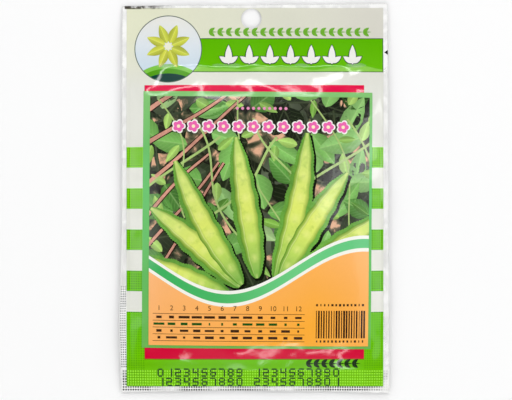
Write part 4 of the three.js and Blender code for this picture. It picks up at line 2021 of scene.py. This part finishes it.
@dataclass
class Contents:
    """The folded leaflet and the loose seeds between the films."""

    form: PacketForm
    leaflet: Rectangle = Rectangle(2.0, -12.0, 82.0, 106.0, 1.5)
    leaflet_depth: float = 0.55
    ply: float = 0.12
    ply_gap: float = 0.2
    seed_size: Point = (8.4, 7.6, 6.8)
    seed_count: int = 33
    seed_pitch: float = 5.7
    seed_stretch: float = 1.08
    seed_centre: Point = (1.0, -22.0, 0.32)

    def build(self) -> None:
        """Make the leaflet and the seeds."""
        self._leaflet()
        self._seeds()

    def _leaflet(self) -> None:
        """One sheet, folded along its left edge, that follows the front film."""
        radius = (self.ply_gap + self.ply) / 2
        count, fold = 34, 8
        shares = np.linspace(0.0, 1.0, count)
        angle = np.linspace(0.0, math.pi, fold + 1)[1:-1]
        across = np.concatenate([shares[::-1], np.zeros(fold - 1), shares])
        out = np.concatenate([np.zeros(count), -np.sin(angle), np.zeros(count)])
        lift = np.concatenate([np.ones(count), np.cos(angle), -np.ones(count)])
        up = np.linspace(0.0, 1.0, 44)
        u, v = np.meshgrid(across, up)
        x, y = self.leaflet.place((u - 0.5) * self.leaflet.width, (v - 0.5) * self.leaflet.height)
        middle = self.form.front_inner(x, y) - self.leaflet_depth
        skins = []
        for reach in (radius - self.ply / 2, radius + self.ply / 2):
            px = x + out[None, :] * reach
            skins.append(np.column_stack([px.ravel(), y.ravel(), (middle + lift[None, :] * reach).ravel()]))
        faces = Skin.grid(u, v).faces
        paper = LeafletPaper("leaflet_paper", roughness=0.75, coat=0.0, creases=0.2, mottle=0.03).make()
        leaflet = closed_between("planting_leaflet", skins[0], skins[1], faces, paper)
        place(leaflet, "leaflet_paper", "planting_leaflet")

    def _seeds(self) -> None:
        """One layer of loose seeds."""
        finish = SeedCoat(
            "seed_coat", roughness=0.3, coat=0.25, coat_roughness=0.2, creases=0.0, mottle=0.12
        ).make()
        pattern = Pattern(
            "seeds", self._seed(), finish, Repeat.SPIRAL, columns=self.seed_count,
            pitch=(self.seed_pitch, self.seed_stretch), centre=self.seed_centre, turn=1.7,
            smallest=(0.94, 0.94, 0.93), largest=(1.03, 1.03, 1.0), seed=6,
        )
        seeds = pattern.make()
        seeds.data.polygons.foreach_set("use_smooth", [True] * len(seeds.data.polygons))
        flat = drape(seeds, lambda x, y: np.zeros_like(x), 0.0)
        place(flat, "seed_coat", *(f"seed_{i + 1:02d}" for i in range(self.seed_count)))

    def _seed(self) -> Object:
        """One smooth seed with a shallow dent at its scar, standing on z = 0."""
        bm = bmesh.new()
        bm.loops.layers.uv.new("UVMap")
        bmesh.ops.create_uvsphere(bm, u_segments=26, v_segments=15, radius=1.0, calc_uvs=True)
        length, width, height = self.seed_size
        for vertex in bm.verts:
            x, y, z = vertex.co
            dent = 0.1 * math.exp(-((y / 0.34) ** 2) - (z / 0.22) ** 2) if x < 0 else 0.0
            square = 1 + 0.04 * math.cos(2 * math.atan2(y, x))
            vertex.co = (x * square * (1 - dent) * length / 2, y * square * width / 2, (z + 1) * height / 2)
        mesh = bpy.data.meshes.new("seed")
        bm.to_mesh(mesh)
        bm.free()
        return bpy.data.objects.new("seed", mesh)


# ---- Stage ----


@dataclass(frozen=True)
class Softbox:
    """A rectangular studio light that faces the packet."""

    name: str
    place: Point
    size: Pair
    power: float

    def build(self) -> None:
        """Add the light."""
        data = bpy.data.lights.new(self.name, "AREA")
        data.shape, data.size, data.size_y, data.energy = "RECTANGLE", self.size[0], self.size[1], self.power
        lamp = linked(self.name, data)
        lamp.location = self.place
        lamp.rotation_euler = lamp.location.to_track_quat("Z", "Y").to_euler()


@dataclass
class Studio:
    """A white table, soft light and a camera straight above the packet."""

    view_width: float = 0.247
    distance: float = 0.8
    aim: Pair = (0.00077, -0.00087)
    aim_height: float = 0.005
    sensor: float = 36.0

    def build(self) -> None:
        """Add the camera, the table, the lights and the surroundings."""
        scene = bpy.context.scene
        scene.view_settings.view_transform = "Standard"
        self._camera(scene)
        self._table()
        self._surroundings(scene)
        for box in (
            Softbox("header_softbox", (-0.12, 0.55, 1.05), (1.0, 0.08), 2.6),
            Softbox("right_softbox", (0.62, 0.1, 0.95), (0.09, 0.9), 0.85),
            Softbox("left_softbox", (-0.78, 0.0, 0.75), (0.16, 0.8), 0.35),
            Softbox("foot_softbox", (0.2, -0.6, 1.0), (0.5, 0.06), 0.6),
            Softbox("right_fill", (1.0, -0.3, 0.75), (1.2, 1.2), 2.8),
            Softbox("left_fill", (-1.0, -0.3, 0.75), (1.2, 1.2), 1.6),
            Softbox("header_fill", (0.0, 1.5, 0.8), (1.6, 0.8), 6.0),
            Softbox("foot_fill", (0.0, -1.5, 0.8), (1.6, 0.8), 6.0),
        ):
            box.build()

    def _camera(self, scene: bpy.types.Scene) -> None:
        """The camera looks straight down, with the header up."""
        data = bpy.data.cameras.new("camera")
        data.sensor_width = self.sensor
        data.lens = self.sensor * self.distance / self.view_width
        scene.camera = linked("camera", data)
        scene.camera.location = (*self.aim, self.aim_height + self.distance)

    @staticmethod
    def _table() -> None:
        """A wide plain white table."""
        mesh = bpy.data.meshes.new("table")
        reach = 3.0
        corners = [(-reach, -reach, 0), (reach, -reach, 0), (reach, reach, 0), (-reach, reach, 0)]
        mesh.from_pydata(corners, [], [(0, 1, 2, 3)])
        material = bpy.data.materials.new("table_white")
        material.use_nodes = True
        graph = Graph(material.node_tree)
        where = graph.add("ShaderNodeTexCoord").outputs["Object"]
        away = graph.use("ShaderNodeVectorMath", {0: where}, operation="LENGTH")["Value"]
        glow = graph.times(graph.times(graph.minus(away, 0.5), 0.5, clamp=True), 0.5)
        shader = material.node_tree.nodes["Principled BSDF"].inputs
        for key, value in (
            ("Base Color", (0.95, 0.95, 0.95, 1.0)), ("Roughness", 0.9),
            ("Emission Color", (1.0, 1.0, 1.0, 1.0)), ("Emission Strength", glow),
        ):
            graph.feed(shader[key], value)
        mesh.materials.append(material)
        linked("table", mesh)

    @staticmethod
    def _surroundings(scene: bpy.types.Scene) -> None:
        """A plain light room, brightest high on its walls and dark straight overhead."""
        world = bpy.data.worlds.new("room")
        world.use_nodes = True
        graph = Graph(world.node_tree)
        parts = graph.parts(graph.add("ShaderNodeTexCoord").outputs["Generated"])
        tones = (0.56, 0.56, 0.56, 0.56, 0.7, 0.8, 0.42, 0.14, 0.0)
        background = world.node_tree.nodes["Background"]
        greys = [(tone, tone, tone, 1.0) for tone in tones]
        graph.feed(background.inputs["Color"], ramp(graph, parts[2], 0.0, 1.0, greys))
        side = graph.times(graph.math("ABSOLUTE", parts[0]), -0.5)
        side = graph.math("MULTIPLY_ADD", parts[0], 0.2, side)
        side = graph.math("MULTIPLY_ADD", parts[1], 0.25, side)
        graph.feed(background.inputs["Strength"], graph.math("MULTIPLY_ADD", side, parts[2], 1.27))
        scene.world = world


def main() -> None:
    """Build the studio and the packet, piece by piece."""
    form = PacketForm.from_frame()
    Studio().build()
    Contents(form).build()
    Films(form).build()
    HeaderPrint(form).build()
    LabelPrint(form, LabelArt()).build()


if __name__ == "__main__":
    main()
